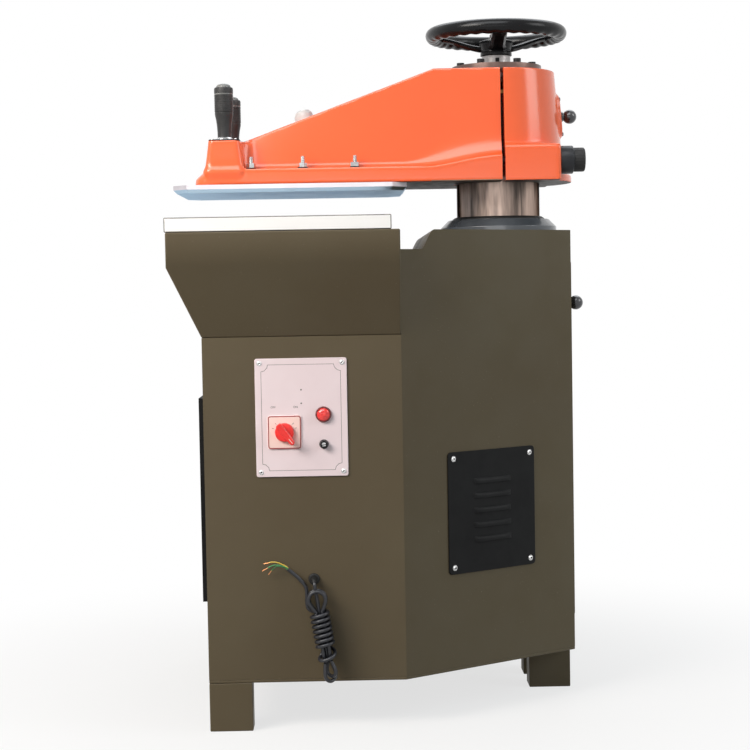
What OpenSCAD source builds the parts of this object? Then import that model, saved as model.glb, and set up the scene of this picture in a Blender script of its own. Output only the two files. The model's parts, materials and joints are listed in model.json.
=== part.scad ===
// Swing-arm cutting press for leather: a floor-standing cabinet with a cutting table, and an arm on a
// column that swings over the table and is pulled down by a hydraulic cylinder.
// +X is the rear, -X the operator's side, Z = 0 the floor. Sizes are in millimetres.

/* [Table] */
// Width of the table, side to side
table_w = 920; // [840:10:1040]
// Depth of the table, front to rear
table_d = 440; // [420:5:500]
// Height of the table's top edge above the floor
table_z = 961; // [930:1:1000]
// Thickness of the cutting board
board_t = 27.6; // [20:0.2:36]

/* [Cabinet] */
// How far the table stands out over the cabinet
overhang = 59; // [40:1:75]
// From the column's axis forward to the table's rear edge
deck_d = 224; // [210:2:260]
// From the column's axis back to the rear face
rear_d = 134; // [126:1:150]
// Width of the rear face
rear_w = 310; // [300:5:360]
// Height of the cabinet's lower edge above the floor
leg_h = 94; // [60:2:120]
// Thickness of the cabinet's sheet
sheet_t = 5; // [3:0.5:6]

/* [Column] */
// Diameter of the column
column_d = 176; // [160:1:178]
// Cutting stroke, downward
stroke = 40; // [20:1:42]

/* [Arm] */
// Open height between the cutting board and the platen
daylight = 61.4; // [58:0.2:90]
// Length of the platen
platen_l = 480; // [420:5:500]
// Width of the platen
platen_w = 320; // [310:5:360]
// Height of the arm's head
head_h = 234; // [220:1:260]

/* [Handwheel] */
// Outside diameter of the handwheel
wheel_d = 298; // [260:2:320]
// Thickness of its rim
rim_d = 26; // [20:1:30]

/* [Grips] */
// Largest diameter of a grip
grip_d = 39; // [34:1:44]
// Height of a grip with its button
grip_h = 117; // [100:1:130]

/* [Mains cord] */
// Diameter of the cord
cord_d = 7.2; // [6.4:0.1:7.4]

/* [Hidden] */
$fn = 64;

// Radial room of a running shaft, room between moving pieces and room in a fixed fit
run_fit = 0.05;
move_gap = 0.3;
fix_fit = 0.05;

// Colours as the photograph shows them
olive = [0.36, 0.33, 0.26];
orange = [0.98, 0.45, 0.24];
black = [0.08, 0.08, 0.09];
steel = [0.72, 0.73, 0.75];
dark_steel = [0.26, 0.27, 0.28];
bronze = [0.72, 0.52, 0.26];
white = [0.94, 0.94, 0.92];
pale_grey = [0.80, 0.77, 0.76];
red = [0.80, 0.08, 0.08];

// Cabinet heights
floor_t = 6;
floor_top = leg_h + floor_t;
band_h = 66;
flare_h = 134;
band_z = table_z - band_h;
neck_z = band_z - flare_h;
deck_z = table_z + 1;
deck_t = 10;
board_z = table_z + board_t;

// Cabinet outline in plan
table_half = table_w / 2;
body_half = table_half - overhang - 1;
rear_half = rear_w / 2;
table_front = -(deck_d + table_d);
front_x = table_front + overhang;
taper_l = deck_d + rear_d;
taper = atan2(body_half - rear_half, taper_l);
taper_side = (body_half - rear_half) / sin(taper);

// Platen, arm and head heights
platen_t = 16;
platen_z = board_z + daylight;
head_z = platen_z + platen_t;
head_top = head_z + head_h;
platen_front = table_front - 15;
foot_flange_t = 32;
foot_flange_top = head_z + foot_flange_t;

// Column and its guide
column_r = column_d / 2;
guide_r = column_r + 16;
guide_bore_r = column_r + 9;
column_foot_z = 440;
head_roof_t = 24;
height_down = 15;
column_top = head_top - head_roof_t - height_down - 11;
column_wall = 28;
column_bore_r = column_r - column_wall;

// The part's origin is under the middle of its box
knob_r = 15;
knob_rear = rear_d + 22 + knob_r;
boss_end = column_r + 30;
clamp_knob_end = boss_end + 53;
origin_x = (platen_front + max(knob_rear, clamp_knob_end)) / 2;

// Shared helpers
module on_machine() {
  translate([-origin_x, 0, 0]) children();
}

module both_sides() {
  children();
  mirror([0, 1, 0]) children();
}

// An upright box from two corners
module block(low, high) {
  translate(low) cube(high - low);
}

// A cylinder along +X or +Y from a point
module along_x(at, d, l) {
  translate(at) rotate([0, 90, 0]) cylinder(d = d, h = l);
}

module along_y(at, d, l) {
  translate(at) rotate([-90, 0, 0]) cylinder(d = d, h = l);
}

// A turned ring between two heights
module ring(r_in, r_out, low, high) {
  translate([0, 0, low]) difference() {
    cylinder(r = r_out, h = high - low);
    translate([0, 0, -1]) cylinder(r = r_in, h = high - low + 2);
  }
}

// A rectangle with round corners, about its middle
module soft_square(l, w, r) {
  square([l - 2 * r, w], center = true);
  square([l, w - 2 * r], center = true);
  for (sx = [-1, 1], sy = [-1, 1])
    translate([sx * (l / 2 - r), sy * (w / 2 - r)]) circle(r);
}

function smooth(t) = t * t * (3 - 2 * t);
function mix(a, b, t) = a + (b - a) * t;
function unit(v) = v / norm(v);

// The cabinet's outline in plan, moved inward by w
function rear_y(w) = body_half - (w + sin(taper) * (taper_l - w)) / cos(taper);
function plan_side(w) = [
  [front_x + w, body_half - w],
  [-deck_d - w * tan(taper / 2), body_half - w],
  [rear_d - w, rear_y(w)]
];
function plan(w) = let (s = plan_side(w)) concat(s, [for (i = [2:-1:0]) [s[i][0], -s[i][1]]]);

module plan_prism(w, low, high) {
  translate([0, 0, low]) linear_extrude(high - low) polygon(plan(w));
}

// The rear deck's outline from the side: a low ledge behind the table, then a rise to the deck
ledge_l = 41;
rise_l = 28;
ledge_z = deck_z - 38;
rise_steps = 8;
function deck_line(drop, lead) = concat(
  [[-deck_d - lead, neck_z - 1], [-deck_d - lead, ledge_z - drop]],
  [for (i = [0:rise_steps]) let (t = i / rise_steps)
    [-deck_d + ledge_l + rise_l * t, mix(ledge_z, deck_z, smooth(t)) - drop]],
  [[rear_d + 1, deck_z - drop], [rear_d + 1, neck_z - 1]]);

module rear_block(w, drop, lead) {
  intersection() {
    plan_prism(w, neck_z - 1, deck_z + 1);
    rotate([90, 0, 0]) translate([0, 0, -table_half])
      linear_extrude(table_w) polygon(deck_line(drop, lead));
  }
}

// Places of the panels, as centres on their faces
plate_w = 176;
plate_h = 227;
plate_t = 3;
plate_x = front_x + 188;
plate_z = neck_z - 155;
switch_x = plate_x - 33;
switch_z = plate_z - 28;
lamp_x = plate_x + 42;
lamp_z = plate_z + 5;
fuse_z = plate_z - 52;
near_y = -body_half;

vent_w = 220;
vent_h = 241;
vent_z = leg_h + 312;
vent_along = taper_side / 2;
vent_slots = 5;
vent_pitch = 29;
vent_slot_w = 92;
vent_slot_h = 7;

cover_w = 580;
cover_h = 405;
cover_t = 18;
cover_z = leg_h + 342;
cover_lip = 20;
cover_skin = 3;

door_w = 252;
door_low = leg_h + 70;
door_high = deck_z - 66;
door_t = 4;
door_gap = 0.5;
door_edge = 20;

gland_x = front_x + 206;
gland_z = leg_h + 200;
gland_out = 8;

screw_d = 5;
screw_head_d = 11;
screw_head_h = 3.4;
screw_l = 12;

// A panel screw standing on a panel, its head up and its shank through the panel
module panel_screw(panel_t) {
  difference() {
    rotate_extrude() polygon([
      [0, 0], [screw_head_d / 2, 0], [screw_head_d / 2, 1.4], [screw_head_d / 3, screw_head_h],
      [0, screw_head_h]]);
    translate([0, 0, screw_head_h]) cube([screw_head_d * 0.7, 1.4, 2], center = true);
  }
  translate([0, 0, -panel_t - screw_l]) cylinder(d = screw_d - 2 * fix_fit, h = panel_t + screw_l + 0.2);
}

module screw_hole() {
  translate([0, 0, -2 * screw_l]) cylinder(d = screw_d, h = 4 * screw_l);
}

// Frames of the panels: origin at the panel's middle on the cabinet's face, Z outward, Y up
module on_near_face(x, z) {
  translate([x, near_y, z]) rotate([90, 0, 0]) children();
}

module on_front_face(z) {
  translate([front_x, 0, z]) rotate([90, 0, -90]) children();
}

module on_taper() {
  translate([-deck_d, -body_half, vent_z]) rotate([0, 0, taper])
    translate([vent_along, 0, 0]) rotate([90, 0, 0]) children();
}

module at_corners(w, h, inset) {
  for (sx = [-1, 1], sy = [-1, 1])
    translate([sx * (w / 2 - inset), sy * (h / 2 - inset), 0]) children();
}

module at_plate_screws() {
  on_near_face(plate_x, plate_z) at_corners(plate_w, plate_h, 9) children();
}

module at_vent_screws() {
  both_sides() on_taper() at_corners(vent_w, vent_h, 13) children();
}

module at_cover_holes() {
  for (sy = [-1, 0, 1], sz = [-1, 1])
    translate([sy * (cover_w / 2 - 2 * cover_lip), sz * (cover_h - cover_lip) / 2, 0]) children();
}

module at_cover_screws() {
  on_front_face(cover_z) at_cover_holes() children();
}

// Cabinet
module cabinet_shell() {
  color(olive) on_machine() difference() {
    union() {
      plan_prism(0, floor_top, neck_z);
      rear_block(0, 0, 0);
    }
    plan_prism(sheet_t, floor_top - 1, neck_z + 1);
    rear_block(sheet_t, deck_t, 1);
    translate([0, 0, deck_z - 2 * deck_t]) cylinder(r = column_r + 6, h = 3 * deck_t);
    at_collar_screws() cylinder(d = collar_screw_d + 0.6, h = 200, center = true);
    both_sides() on_taper() cube([vent_w - 60, vent_h - 60, 60], center = true);
    at_vent_screws() screw_hole();
    on_front_face(cover_z)
      cube([cover_w - 2 * cover_lip - 20, cover_h - 2 * cover_lip - 20, 60], center = true);
    at_cover_screws() screw_hole();
    block([rear_d - 30, -door_w / 2 + door_edge, door_low + door_edge],
      [rear_d + 30, door_w / 2 - door_edge, door_high - door_edge]);
    at_plate_screws() screw_hole();
    on_near_face(switch_x, switch_z) cylinder(d = switch_neck_d + 2 * fix_fit, h = 60, center = true);
    on_near_face(lamp_x, lamp_z) cylinder(d = lamp_barrel_d + 2 * fix_fit, h = 60, center = true);
    on_near_face(lamp_x, fuse_z) cylinder(d = fuse_barrel_d + 2 * fix_fit, h = 60, center = true);
    on_near_face(gland_x, gland_z) cylinder(d = gland_barrel_d + 2 * fix_fit, h = 60, center = true);
  }
}

module floor_pan() {
  color(olive) on_machine() plan_prism(0, leg_h, floor_top);
}

front_leg_l = 83.5;
front_leg_w = 45;
rear_leg_l = 87;
rear_leg_w = 55;
rear_leg_y = 33;
leg_wall = 6;

// A leg of folded sheet, open inside, with a closed sole
module leg(low, high) {
  difference() {
    block(low, high);
    block(low + [leg_wall, leg_wall, leg_wall], high + [-leg_wall, -leg_wall, 1]);
  }
}

module legs() {
  color(olive) on_machine() both_sides() {
    leg([front_x, -body_half, 0], [front_x + front_leg_l, -body_half + front_leg_w, leg_h]);
    leg([rear_d - 2 - rear_leg_l, -rear_leg_y - rear_leg_w, 0], [rear_d - 2, -rear_leg_y, leg_h]);
  }
}

// The flared form under the table, moved inward by w and longer at both ends by more
module skirt_form(w, more) {
  slice = 0.1;
  hull() {
    block([front_x + w, -body_half + w, neck_z - more], [-deck_d - w, body_half - w, neck_z + slice]);
    block([table_front + w, -table_half + w, band_z - slice], [-deck_d - w, table_half - w, band_z + more]);
  }
}

band_t = 6;

module table_skirt() {
  color(olive) on_machine() {
    difference() {
      skirt_form(0, 0);
      skirt_form(band_t, 1);
    }
    difference() {
      block([table_front, -table_half, band_z], [-deck_d, table_half, table_z]);
      block([table_front + band_t, -table_half + band_t, band_z - 1],
        [-deck_d - band_t, table_half - band_t, table_z + 1]);
    }
  }
}

bed_t = 40;

module bed_plate() {
  color(steel) on_machine()
    block([table_front + band_t, -table_half + band_t, table_z - bed_t],
      [-deck_d - band_t, table_half - band_t, table_z]);
}

web_y = 200;
web_t = 12;

module bed_webs() {
  color(dark_steel) on_machine() both_sides()
    block([front_x + 10, web_y, floor_top], [-deck_d - 10, web_y + web_t, table_z - bed_t]);
}

board_d = table_d - 14;

module cutting_board() {
  color(white) on_machine()
    block([table_front - 2, -table_half + 1, table_z], [table_front - 2 + board_d, table_half - 1, board_z]);
}

// Column guide on the deck
collar_r = column_r + 35;
collar_top_r = column_r + 16;
collar_h = 28;
seal_r = column_r + 10;
seal_seat = 6;
seal_h = 12;
collar_screw_d = 10;
collar_screw_r = column_r + 25.5;

module at_collar_screws() {
  for (i = [0:5])
    rotate([0, 0, 30 + 60 * i]) translate([collar_screw_r, 0, deck_z - deck_t]) children();
}

module deck_collar() {
  color(dark_steel) on_machine() difference() {
    translate([0, 0, deck_z]) rotate_extrude() polygon([
      [column_r + 0.5, 0], [collar_r, 0], [collar_r, 12], [collar_top_r + 3, collar_h],
      [seal_r + fix_fit, collar_h], [seal_r + fix_fit, collar_h - seal_seat],
      [column_r + 0.5, collar_h - seal_seat]]);
    at_collar_screws() cylinder(d = collar_screw_d, h = deck_t + 12);
  }
}

module collar_screws() {
  color(dark_steel) on_machine() at_collar_screws() {
    translate([0, 0, -7]) cylinder(d = 15, h = 7, $fn = 6);
    cylinder(d = collar_screw_d - 2 * fix_fit, h = deck_t + 11);
  }
}

module wiper_seal() {
  color(black) on_machine() translate([0, 0, deck_z + collar_h - seal_seat]) rotate_extrude()
    polygon([[column_r + move_gap, 0], [seal_r, 0], [seal_r, seal_seat + 2], [column_r + 4, seal_h],
      [column_r + move_gap, seal_h]]);
}

window_half = 45;

module guide_tube() {
  color(dark_steel) on_machine() difference() {
    ring(guide_bore_r, guide_r, floor_top, deck_z - deck_t);
    block([-2 * guide_r, -window_half, floor_top + 20], [-20, window_half, floor_top + 200]);
  }
}

bush_h = 100;
low_bush_z = column_foot_z + 30;

module guide_bushes() {
  color(bronze) on_machine()
    for (z = [deck_z - deck_t - bush_h, low_bush_z])
      ring(column_r + run_fit, guide_bore_r - fix_fit, z, z + bush_h);
}

// Hydraulic cylinder under the column
barrel_r = 75;
barrel_bore_r = 60;
barrel_base = 16;
cylinder_head_t = 25;
rod_d = 50;
rod_tip_d = 30;
piston_t = 40;
oil_room = 44;
piston_z = floor_top + barrel_base + oil_room + stroke;
barrel_top = piston_z + piston_t + oil_room;
port_d = 30;
port_x = -92;
ports_z = [floor_top + 50, piston_z + 56];

module cylinder_barrel() {
  color(steel) on_machine() difference() {
    union() {
      translate([0, 0, floor_top]) cylinder(r = barrel_r, h = barrel_top - floor_top);
      for (z = ports_z) along_x([port_x, 0, z], port_d, -port_x - barrel_bore_r - 2);
    }
    translate([0, 0, floor_top + barrel_base]) cylinder(r = barrel_bore_r, h = barrel_top);
  }
}

module cylinder_head() {
  color(dark_steel) on_machine()
    ring(rod_d / 2 + run_fit, barrel_r, barrel_top, barrel_top + cylinder_head_t);
}

seat_t = 15;
spring_low = barrel_top + cylinder_head_t;
spring_high = column_foot_z - seat_t - move_gap;
spring_r = 46;
spring_wire = 11;
spring_turns = 5;

function spring_line() = let (low = spring_low + spring_wire / 2, high = spring_high - spring_wire / 2)
  [for (i = [0:24 * spring_turns]) let (t = i / (24 * spring_turns))
    [spring_r * cos(360 * spring_turns * t), spring_r * sin(360 * spring_turns * t), mix(low, high, t)]];

module return_spring() {
  color(dark_steel) on_machine() tube(spring_line(), spring_wire / 2, 6);
}

module spring_seat() {
  color(steel) on_machine()
    ring(rod_d / 2 + move_gap, 65, column_foot_z - seat_t - move_gap, column_foot_z - move_gap);
}

// Oil tank, motor, pump and valve inside the cabinet
tank_x = [front_x + 25, front_x + 305];
tank_half = 170;
tank_h = 170;
tank_top = floor_top + tank_h;
tank_t = 4;
motor_x = front_x + 140;
motor_d = 150;
motor_z = tank_top + motor_d / 2 + 10;
motor_y = [-10, 165];
shaft_d = 28;
shaft_out = 60;
rotor_d = 96;
rotor_inset = 30;
coupling_d = 52;
coupling_l = 52;
coupling_out = 62;
pump_half = 45;
pump_l = 76;
pump_gap = 2;
pump_foot_in = 10;

module oil_tank() {
  color(dark_steel) on_machine() difference() {
    block([tank_x[0], -tank_half, floor_top], [tank_x[1], tank_half, tank_top]);
    block([tank_x[0] + tank_t, -tank_half + tank_t, floor_top + tank_t],
      [tank_x[1] - tank_t, tank_half - tank_t, tank_top - tank_t]);
  }
}

module motor_body() {
  color(dark_steel) on_machine() difference() {
    union() {
      along_y([motor_x, motor_y[0], motor_z], motor_d, motor_y[1] - motor_y[0]);
      block([motor_x - 60, motor_y[0] + 20, tank_top], [motor_x + 60, motor_y[1] - 20, motor_z - 40]);
    }
    along_y([motor_x, motor_y[0] + 12, motor_z], rotor_d + 8, motor_y[1] - motor_y[0] - 24);
    along_y([motor_x, motor_y[0] - 1, motor_z], shaft_d + 2 * run_fit, motor_y[1] - motor_y[0] + 2);
  }
}

module motor_rotor() {
  color(steel) on_machine() {
    along_y([motor_x, motor_y[0] - shaft_out, motor_z], shaft_d,
      motor_y[1] - motor_y[0] + shaft_out - 5);
    along_y([motor_x, motor_y[0] + rotor_inset, motor_z], rotor_d,
      motor_y[1] - motor_y[0] - 2 * rotor_inset);
    along_y([motor_x, motor_y[0] - coupling_out, motor_z], coupling_d, coupling_l);
  }
}

module gear_pump() {
  rear = motor_y[0] - coupling_out - pump_gap;
  front = rear - pump_l;
  color(dark_steel) on_machine() {
    block([motor_x - pump_half, front, motor_z - pump_half],
      [motor_x + pump_half, rear, motor_z + pump_half]);
    block([motor_x - pump_half, front + pump_foot_in, tank_top],
      [motor_x + pump_half, rear - pump_foot_in, motor_z - pump_half]);
  }
}

valve_l = 70;
valve_w = 80;
valve_h = 70;
valve_x = tank_x[1] - 15 - valve_l / 2;
valve_y = -70;
valve_top = tank_top + valve_h;
solenoid_d = 44;
solenoid_h = 70;

module valve_block() {
  color(steel) on_machine() {
    block([valve_x - valve_l / 2, valve_y - valve_w / 2, tank_top],
      [valve_x + valve_l / 2, valve_y + valve_w / 2, valve_top]);
    translate([valve_x, valve_y, valve_top]) cylinder(d = solenoid_d, h = solenoid_h);
  }
}

hose_d = 16;
valve_port = [valve_x + valve_l / 2, valve_y, tank_top + 45];
hose_paths = [
  [valve_port, valve_port + [25, 0, 0], valve_port + [60, 25, -15],
    [port_x - 60, -12, ports_z[1] + 6], [port_x - 24, 0, ports_z[1]],
    [port_x, 0, ports_z[1]]],
  [[tank_x[1], 60, ports_z[0] + 40], [tank_x[1] + 28, 60, ports_z[0] + 40],
    [tank_x[1] + 80, 45, ports_z[0] + 24], [port_x - 60, 12, ports_z[0] + 4], [port_x - 24, 0, ports_z[0]],
    [port_x, 0, ports_z[0]]]
];

module hydraulic_hoses() {
  color(black) on_machine() for (path = hose_paths) tube(squared(path, 5), hose_d / 2, 8);
}

box_l = 120;
box_w = 60;
box_h = 160;
box_x = front_x + 170;
box_top = neck_z - 20;

module contactor_box() {
  color(pale_grey) on_machine()
    block([box_x, -web_y - web_t - box_w, box_top - box_h], [box_x + box_l, -web_y - web_t, box_top]);
}

// Panels on the cabinet
module front_cover() {
  color(black) on_machine() on_front_face(cover_z) difference() {
    translate([-cover_w / 2, -cover_h / 2, 0]) cube([cover_w, cover_h, cover_t]);
    translate([-cover_w / 2 + cover_lip, -cover_h / 2 + cover_lip, -1])
      cube([cover_w - 2 * cover_lip, cover_h - 2 * cover_lip, cover_t + 1 - cover_skin]);
    at_cover_holes() screw_hole();
  }
}

module vent_slot_row() {
  for (i = [0:vent_slots - 1])
    translate([0, (i - (vent_slots - 1) / 2) * vent_pitch, 0]) children();
}

vent_t = 3;
hood_out = 5;

module vent_covers() {
  color(black) on_machine() both_sides() on_taper() {
    difference() {
      translate([-vent_w / 2, -vent_h / 2, 0]) cube([vent_w, vent_h, vent_t]);
      vent_slot_row() cube([vent_slot_w, vent_slot_h, 4 * vent_t], center = true);
      at_corners(vent_w, vent_h, 13) screw_hole();
    }
    vent_slot_row() translate([-vent_slot_w / 2, 0, vent_t]) rotate([90, 0, 90]) linear_extrude(vent_slot_w)
      polygon([[vent_slot_h / 2, 0], [vent_slot_h / 2 + 3, 0], [vent_slot_h / 2, hood_out],
        [-vent_slot_h / 2, hood_out], [-vent_slot_h / 2, hood_out - 1.6], [vent_slot_h / 2, hood_out - 1.6]]);
  }
}

module panel_screws() {
  color(steel) on_machine() {
    at_plate_screws() translate([0, 0, plate_t]) panel_screw(plate_t);
    at_vent_screws() translate([0, 0, vent_t]) panel_screw(vent_t);
    at_cover_screws() translate([0, 0, cover_t]) panel_screw(cover_t);
  }
}

switch_neck_d = 24;
switch_stem_d = 8;
switch_plate_w = 64;
lamp_barrel_d = 22;
lamp_bezel_d = 30;
fuse_barrel_d = 13;
fuse_flange_d = 18;

module control_plate() {
  color(pale_grey) on_machine() difference() {
    on_near_face(plate_x, plate_z) linear_extrude(plate_t) soft_square(plate_w, plate_h, 4);
    at_plate_screws() screw_hole();
    on_near_face(switch_x, switch_z) cylinder(d = switch_neck_d + 2 * fix_fit, h = 60, center = true);
    on_near_face(lamp_x, lamp_z) cylinder(d = lamp_barrel_d + 2 * fix_fit, h = 60, center = true);
    on_near_face(lamp_x, fuse_z) cylinder(d = fuse_barrel_d + 2 * fix_fit, h = 60, center = true);
  }
}

module switch_plate() {
  color(white) on_machine() on_near_face(switch_x, switch_z) translate([0, 0, plate_t]) difference() {
    linear_extrude(2.5) soft_square(switch_plate_w, switch_plate_w, 5);
    cylinder(d = switch_neck_d + 2 * fix_fit, h = 20, center = true);
  }
}

module switch_body() {
  color(black) on_machine() on_near_face(switch_x, switch_z) difference() {
    union() {
      translate([-24, -24, -sheet_t - 50]) cube([48, 48, 50]);
      translate([0, 0, -sheet_t]) cylinder(d = switch_neck_d, h = sheet_t + plate_t + 2.5);
    }
    translate([0, 0, -30]) cylinder(d = switch_stem_d + 2 * run_fit, h = 60);
  }
}

switch_face = plate_t + 2.5 + move_gap;

module switch_knob() {
  color(red) on_machine() on_near_face(switch_x, switch_z) {
    translate([0, 0, switch_face]) cylinder(d1 = 36, d2 = 33, h = 8);
    translate([0, 0, switch_face + 8]) rotate([0, 0, -45]) linear_extrude(12) soft_square(44, 12, 5);
    translate([0, 0, -28]) cylinder(d = switch_stem_d, h = 30 + switch_face);
  }
}

module lamp_body() {
  color(red) on_machine() on_near_face(lamp_x, lamp_z) {
    translate([0, 0, plate_t]) cylinder(d1 = lamp_bezel_d, d2 = lamp_bezel_d - 3, h = 5);
    translate([0, 0, -45]) cylinder(d = lamp_barrel_d, h = 45 + plate_t);
  }
}

module lamp_lens() {
  color(red) on_machine() on_near_face(lamp_x, lamp_z) translate([0, 0, plate_t + 5])
    rotate_extrude() intersection() {
      translate([0, -9]) circle(15);
      square([lamp_bezel_d, lamp_bezel_d]);
    }
}

module fuse_holder() {
  color(black) on_machine() on_near_face(lamp_x, fuse_z) difference() {
    union() {
      translate([0, 0, plate_t]) cylinder(d = fuse_flange_d, h = 3);
      translate([0, 0, -40]) cylinder(d = fuse_barrel_d, h = 40 + plate_t + 0.5);
    }
    translate([0, 0, -30]) cylinder(d = 8 + 2 * run_fit, h = 60);
  }
}

module fuse_cap() {
  color(black) on_machine() on_near_face(lamp_x, fuse_z) difference() {
    union() {
      translate([0, 0, plate_t + 3 + move_gap]) cylinder(d1 = 16, d2 = 14, h = 7);
      translate([0, 0, -28]) cylinder(d = 8, h = 32 + plate_t);
    }
    translate([0, 0, plate_t + 10]) cube([10, 1.6, 3], center = true);
  }
}

// Rear door and its hinges
hinge_x = rear_d + 10;
hinge_y = door_w / 2 + 8;
hinge_pin_d = 5;
knuckle_d = 10;
knuckle_l = 24;
hinge_leaf_t = 3;
hinge_leaf_w = 42;
hinges_z = [door_low + 90, door_high - 90];
door_x = rear_d + door_gap;

module rear_door() {
  color(olive) on_machine() {
    block([door_x, -door_w / 2, door_low], [door_x + door_t, door_w / 2, door_high]);
    for (z = hinges_z) translate([0, 0, z + move_gap]) difference() {
      union() {
        translate([hinge_x, hinge_y, 0]) cylinder(d = knuckle_d, h = knuckle_l);
        block([door_x + door_t - 1, hinge_y - hinge_leaf_w, 0],
          [door_x + door_t + hinge_leaf_t, hinge_y - hinge_pin_d / 2 - 0.5, knuckle_l]);
      }
      translate([hinge_x, hinge_y, -1]) cylinder(d = hinge_pin_d + 2 * run_fit, h = knuckle_l + 2);
    }
  }
}

module door_hinges() {
  color(dark_steel) on_machine() for (z = hinges_z) translate([0, 0, z - knuckle_l]) {
    difference() {
      union() {
        translate([hinge_x, hinge_y, 0]) cylinder(d = knuckle_d, h = knuckle_l);
        block([rear_d, hinge_y + 2, 0], [hinge_x, hinge_y + knuckle_d / 2, knuckle_l]);
        block([rear_d, hinge_y + 2, 0], [rear_d + hinge_leaf_t, hinge_y + 18, knuckle_l]);
      }
      translate([hinge_x, hinge_y, -1]) cylinder(d = hinge_pin_d + 2 * fix_fit, h = knuckle_l + 2);
    }
    translate([hinge_x, hinge_y, 0]) cylinder(d = hinge_pin_d, h = 2 * knuckle_l);
  }
}

door_knob_y = -60;
door_knob_z = deck_z - 150;

// A ball knob on a stem along +X, from a face to the ball's middle
module ball_knob(from, to, stem_d) {
  along_x(from, stem_d, to - from[0]);
  translate([to, from[1], from[2]]) sphere(knob_r);
}

module door_knob() {
  color(black) on_machine()
    ball_knob([door_x + door_t, door_knob_y, door_knob_z], knob_rear - knob_r, 16);
}

// Column, piston, key and lifting nut
module column_tube() {
  color(steel) on_machine() difference() {
    translate([0, 0, column_foot_z]) cylinder(r = column_r, h = column_top - column_foot_z);
    translate([0, 0, column_foot_z + 40]) cylinder(r = column_bore_r, h = column_top);
    translate([0, 0, column_foot_z - 1]) cylinder(d = rod_tip_d + 2 * fix_fit, h = 60);
    key_form(0, key_low, key_high);
  }
}

module piston() {
  color(steel) on_machine() {
    translate([0, 0, piston_z]) cylinder(r = barrel_bore_r - run_fit, h = piston_t);
    translate([0, 0, piston_z]) cylinder(d = rod_d, h = column_foot_z - piston_z);
    translate([0, 0, piston_z]) cylinder(d = rod_tip_d, h = column_foot_z + 38 - piston_z);
  }
}

key_w = 20;
key_low = head_z + 30;
key_high = column_top - 26;

// The feather key on the column's front, between two heights and wider by the room given
module key_form(room, low, high) {
  block([-column_r - 6 - room, -key_w / 2 - room, low], [-column_r + 10, key_w / 2 + room, high]);
}

module feather_key() {
  color(dark_steel) on_machine() key_form(0, key_low, key_high);
}

nut_h = 60;
nut_flange_t = 8;
lead_screw_d = 36;

module lift_nut() {
  color(bronze) on_machine() difference() {
    union() {
      translate([0, 0, column_top - nut_h]) cylinder(r = column_bore_r - fix_fit, h = nut_h);
      translate([0, 0, column_top]) cylinder(r = column_r - 8, h = nut_flange_t);
    }
    translate([0, 0, column_top - 2 * nut_h]) cylinder(d = lead_screw_d + 0.4, h = 4 * nut_h);
  }
}

// Arm: foot flange, hollow beam, front half of the hub and two grip towers
hub_split = [-3, 4];
hub_r = [column_r + 40, column_r + 34];
arm_front = platen_front + 44;
foot_half = 150;
foot_corner = 45;
foot_edge_t = 12;
foot_ramp_l = 32;
beam_front = arm_front + 90;
tower_x = arm_front + 63;
tower_y = 124;
tower_l = 65;
tower_low_l = 80;
tower_w = 52;
tower_round = 14;
tower_slice_t = 0.2;
tower_top = foot_flange_top + 59;
stud_xs = [arm_front + 117, arm_front + 223, arm_front + 330];
stud_y = 138;
stud_d = 10;
stud_seat = 6;
stud_out = 25;
clamp_y = column_r + 24;
clamp_z = head_z + 42;
clamp_d = 18;
clamp_in = 28;
clamp_collar_d = 58;
clamp_collar_l = 28;
clamp_grip_d = 50;

beam_low_half = 118;
beam_top_half = 98;
beam_crest = -140;
beam_crest_half = 113;

// The beam's form, moved inward by w and starting at a height. It widens until it meets the hub's sides
module beam_form(w, low) {
  slice = 0.2;
  hull() {
    block([beam_front - 6 + w, -beam_low_half + w, low],
      [beam_front + 30, beam_low_half - w, foot_flange_top]);
    block([-slice, -hub_r[0] + w, low], [0, hub_r[0] - w, foot_flange_top]);
    block([beam_front + w, -beam_top_half + w, tower_top - w - slice],
      [beam_front + 30, beam_top_half - w, tower_top - w]);
    block([beam_crest, -beam_crest_half + w, head_top - w - slice],
      [beam_crest + slice, beam_crest_half - w, head_top - w]);
    block([-slice, -hub_r[1] + w, head_top - w - slice], [0, hub_r[1] - w, head_top - w]);
  }
}

module tower_slice(z, l) {
  translate([tower_x, -tower_y, z]) linear_extrude(tower_slice_t)
    soft_square(l, tower_w, tower_round, $fn = 32);
}

module tower() {
  hull() {
    tower_slice(head_z + foot_edge_t, tower_low_l);
    tower_slice(tower_top - 44, mix(tower_low_l, tower_l, 0.53));
    tower_slice(tower_top - tower_slice_t, tower_l);
  }
}

// The foot's plate, whose front slopes down to a thin edge
module foot_form() {
  difference() {
    translate([0, 0, head_z]) linear_extrude(foot_flange_t) {
      translate([arm_front + foot_corner, -foot_half]) square([-arm_front - foot_corner, 2 * foot_half]);
      translate([arm_front, -foot_half + foot_corner]) square([foot_corner, 2 * (foot_half - foot_corner)]);
      for (s = [-1, 1])
        translate([arm_front + foot_corner, s * (foot_half - foot_corner)]) circle(foot_corner);
    }
    translate([arm_front, foot_half + 1, head_z + foot_edge_t]) rotate([90, 0, 0])
      linear_extrude(2 * foot_half + 2) polygon([
        [-1, 0], [0, 0], [foot_ramp_l, foot_flange_t - foot_edge_t], [foot_ramp_l, foot_flange_t],
        [-1, foot_flange_t]]);
  }
}

roof_hole_r = 40;

// The column's bore, with a smaller hole through the head's roof
module hub_bore() {
  translate([0, 0, head_z - 1]) cylinder(r = column_r + run_fit, h = head_h - head_roof_t + 1);
  translate([0, 0, head_z]) cylinder(r = roof_hole_r, h = head_h + 1);
}

module at_studs() {
  both_sides() for (x = stud_xs) translate([x, -stud_y, 0]) children();
}

beam_wall = 16;
cavity_rear = -hub_r[0] - 12;

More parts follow.
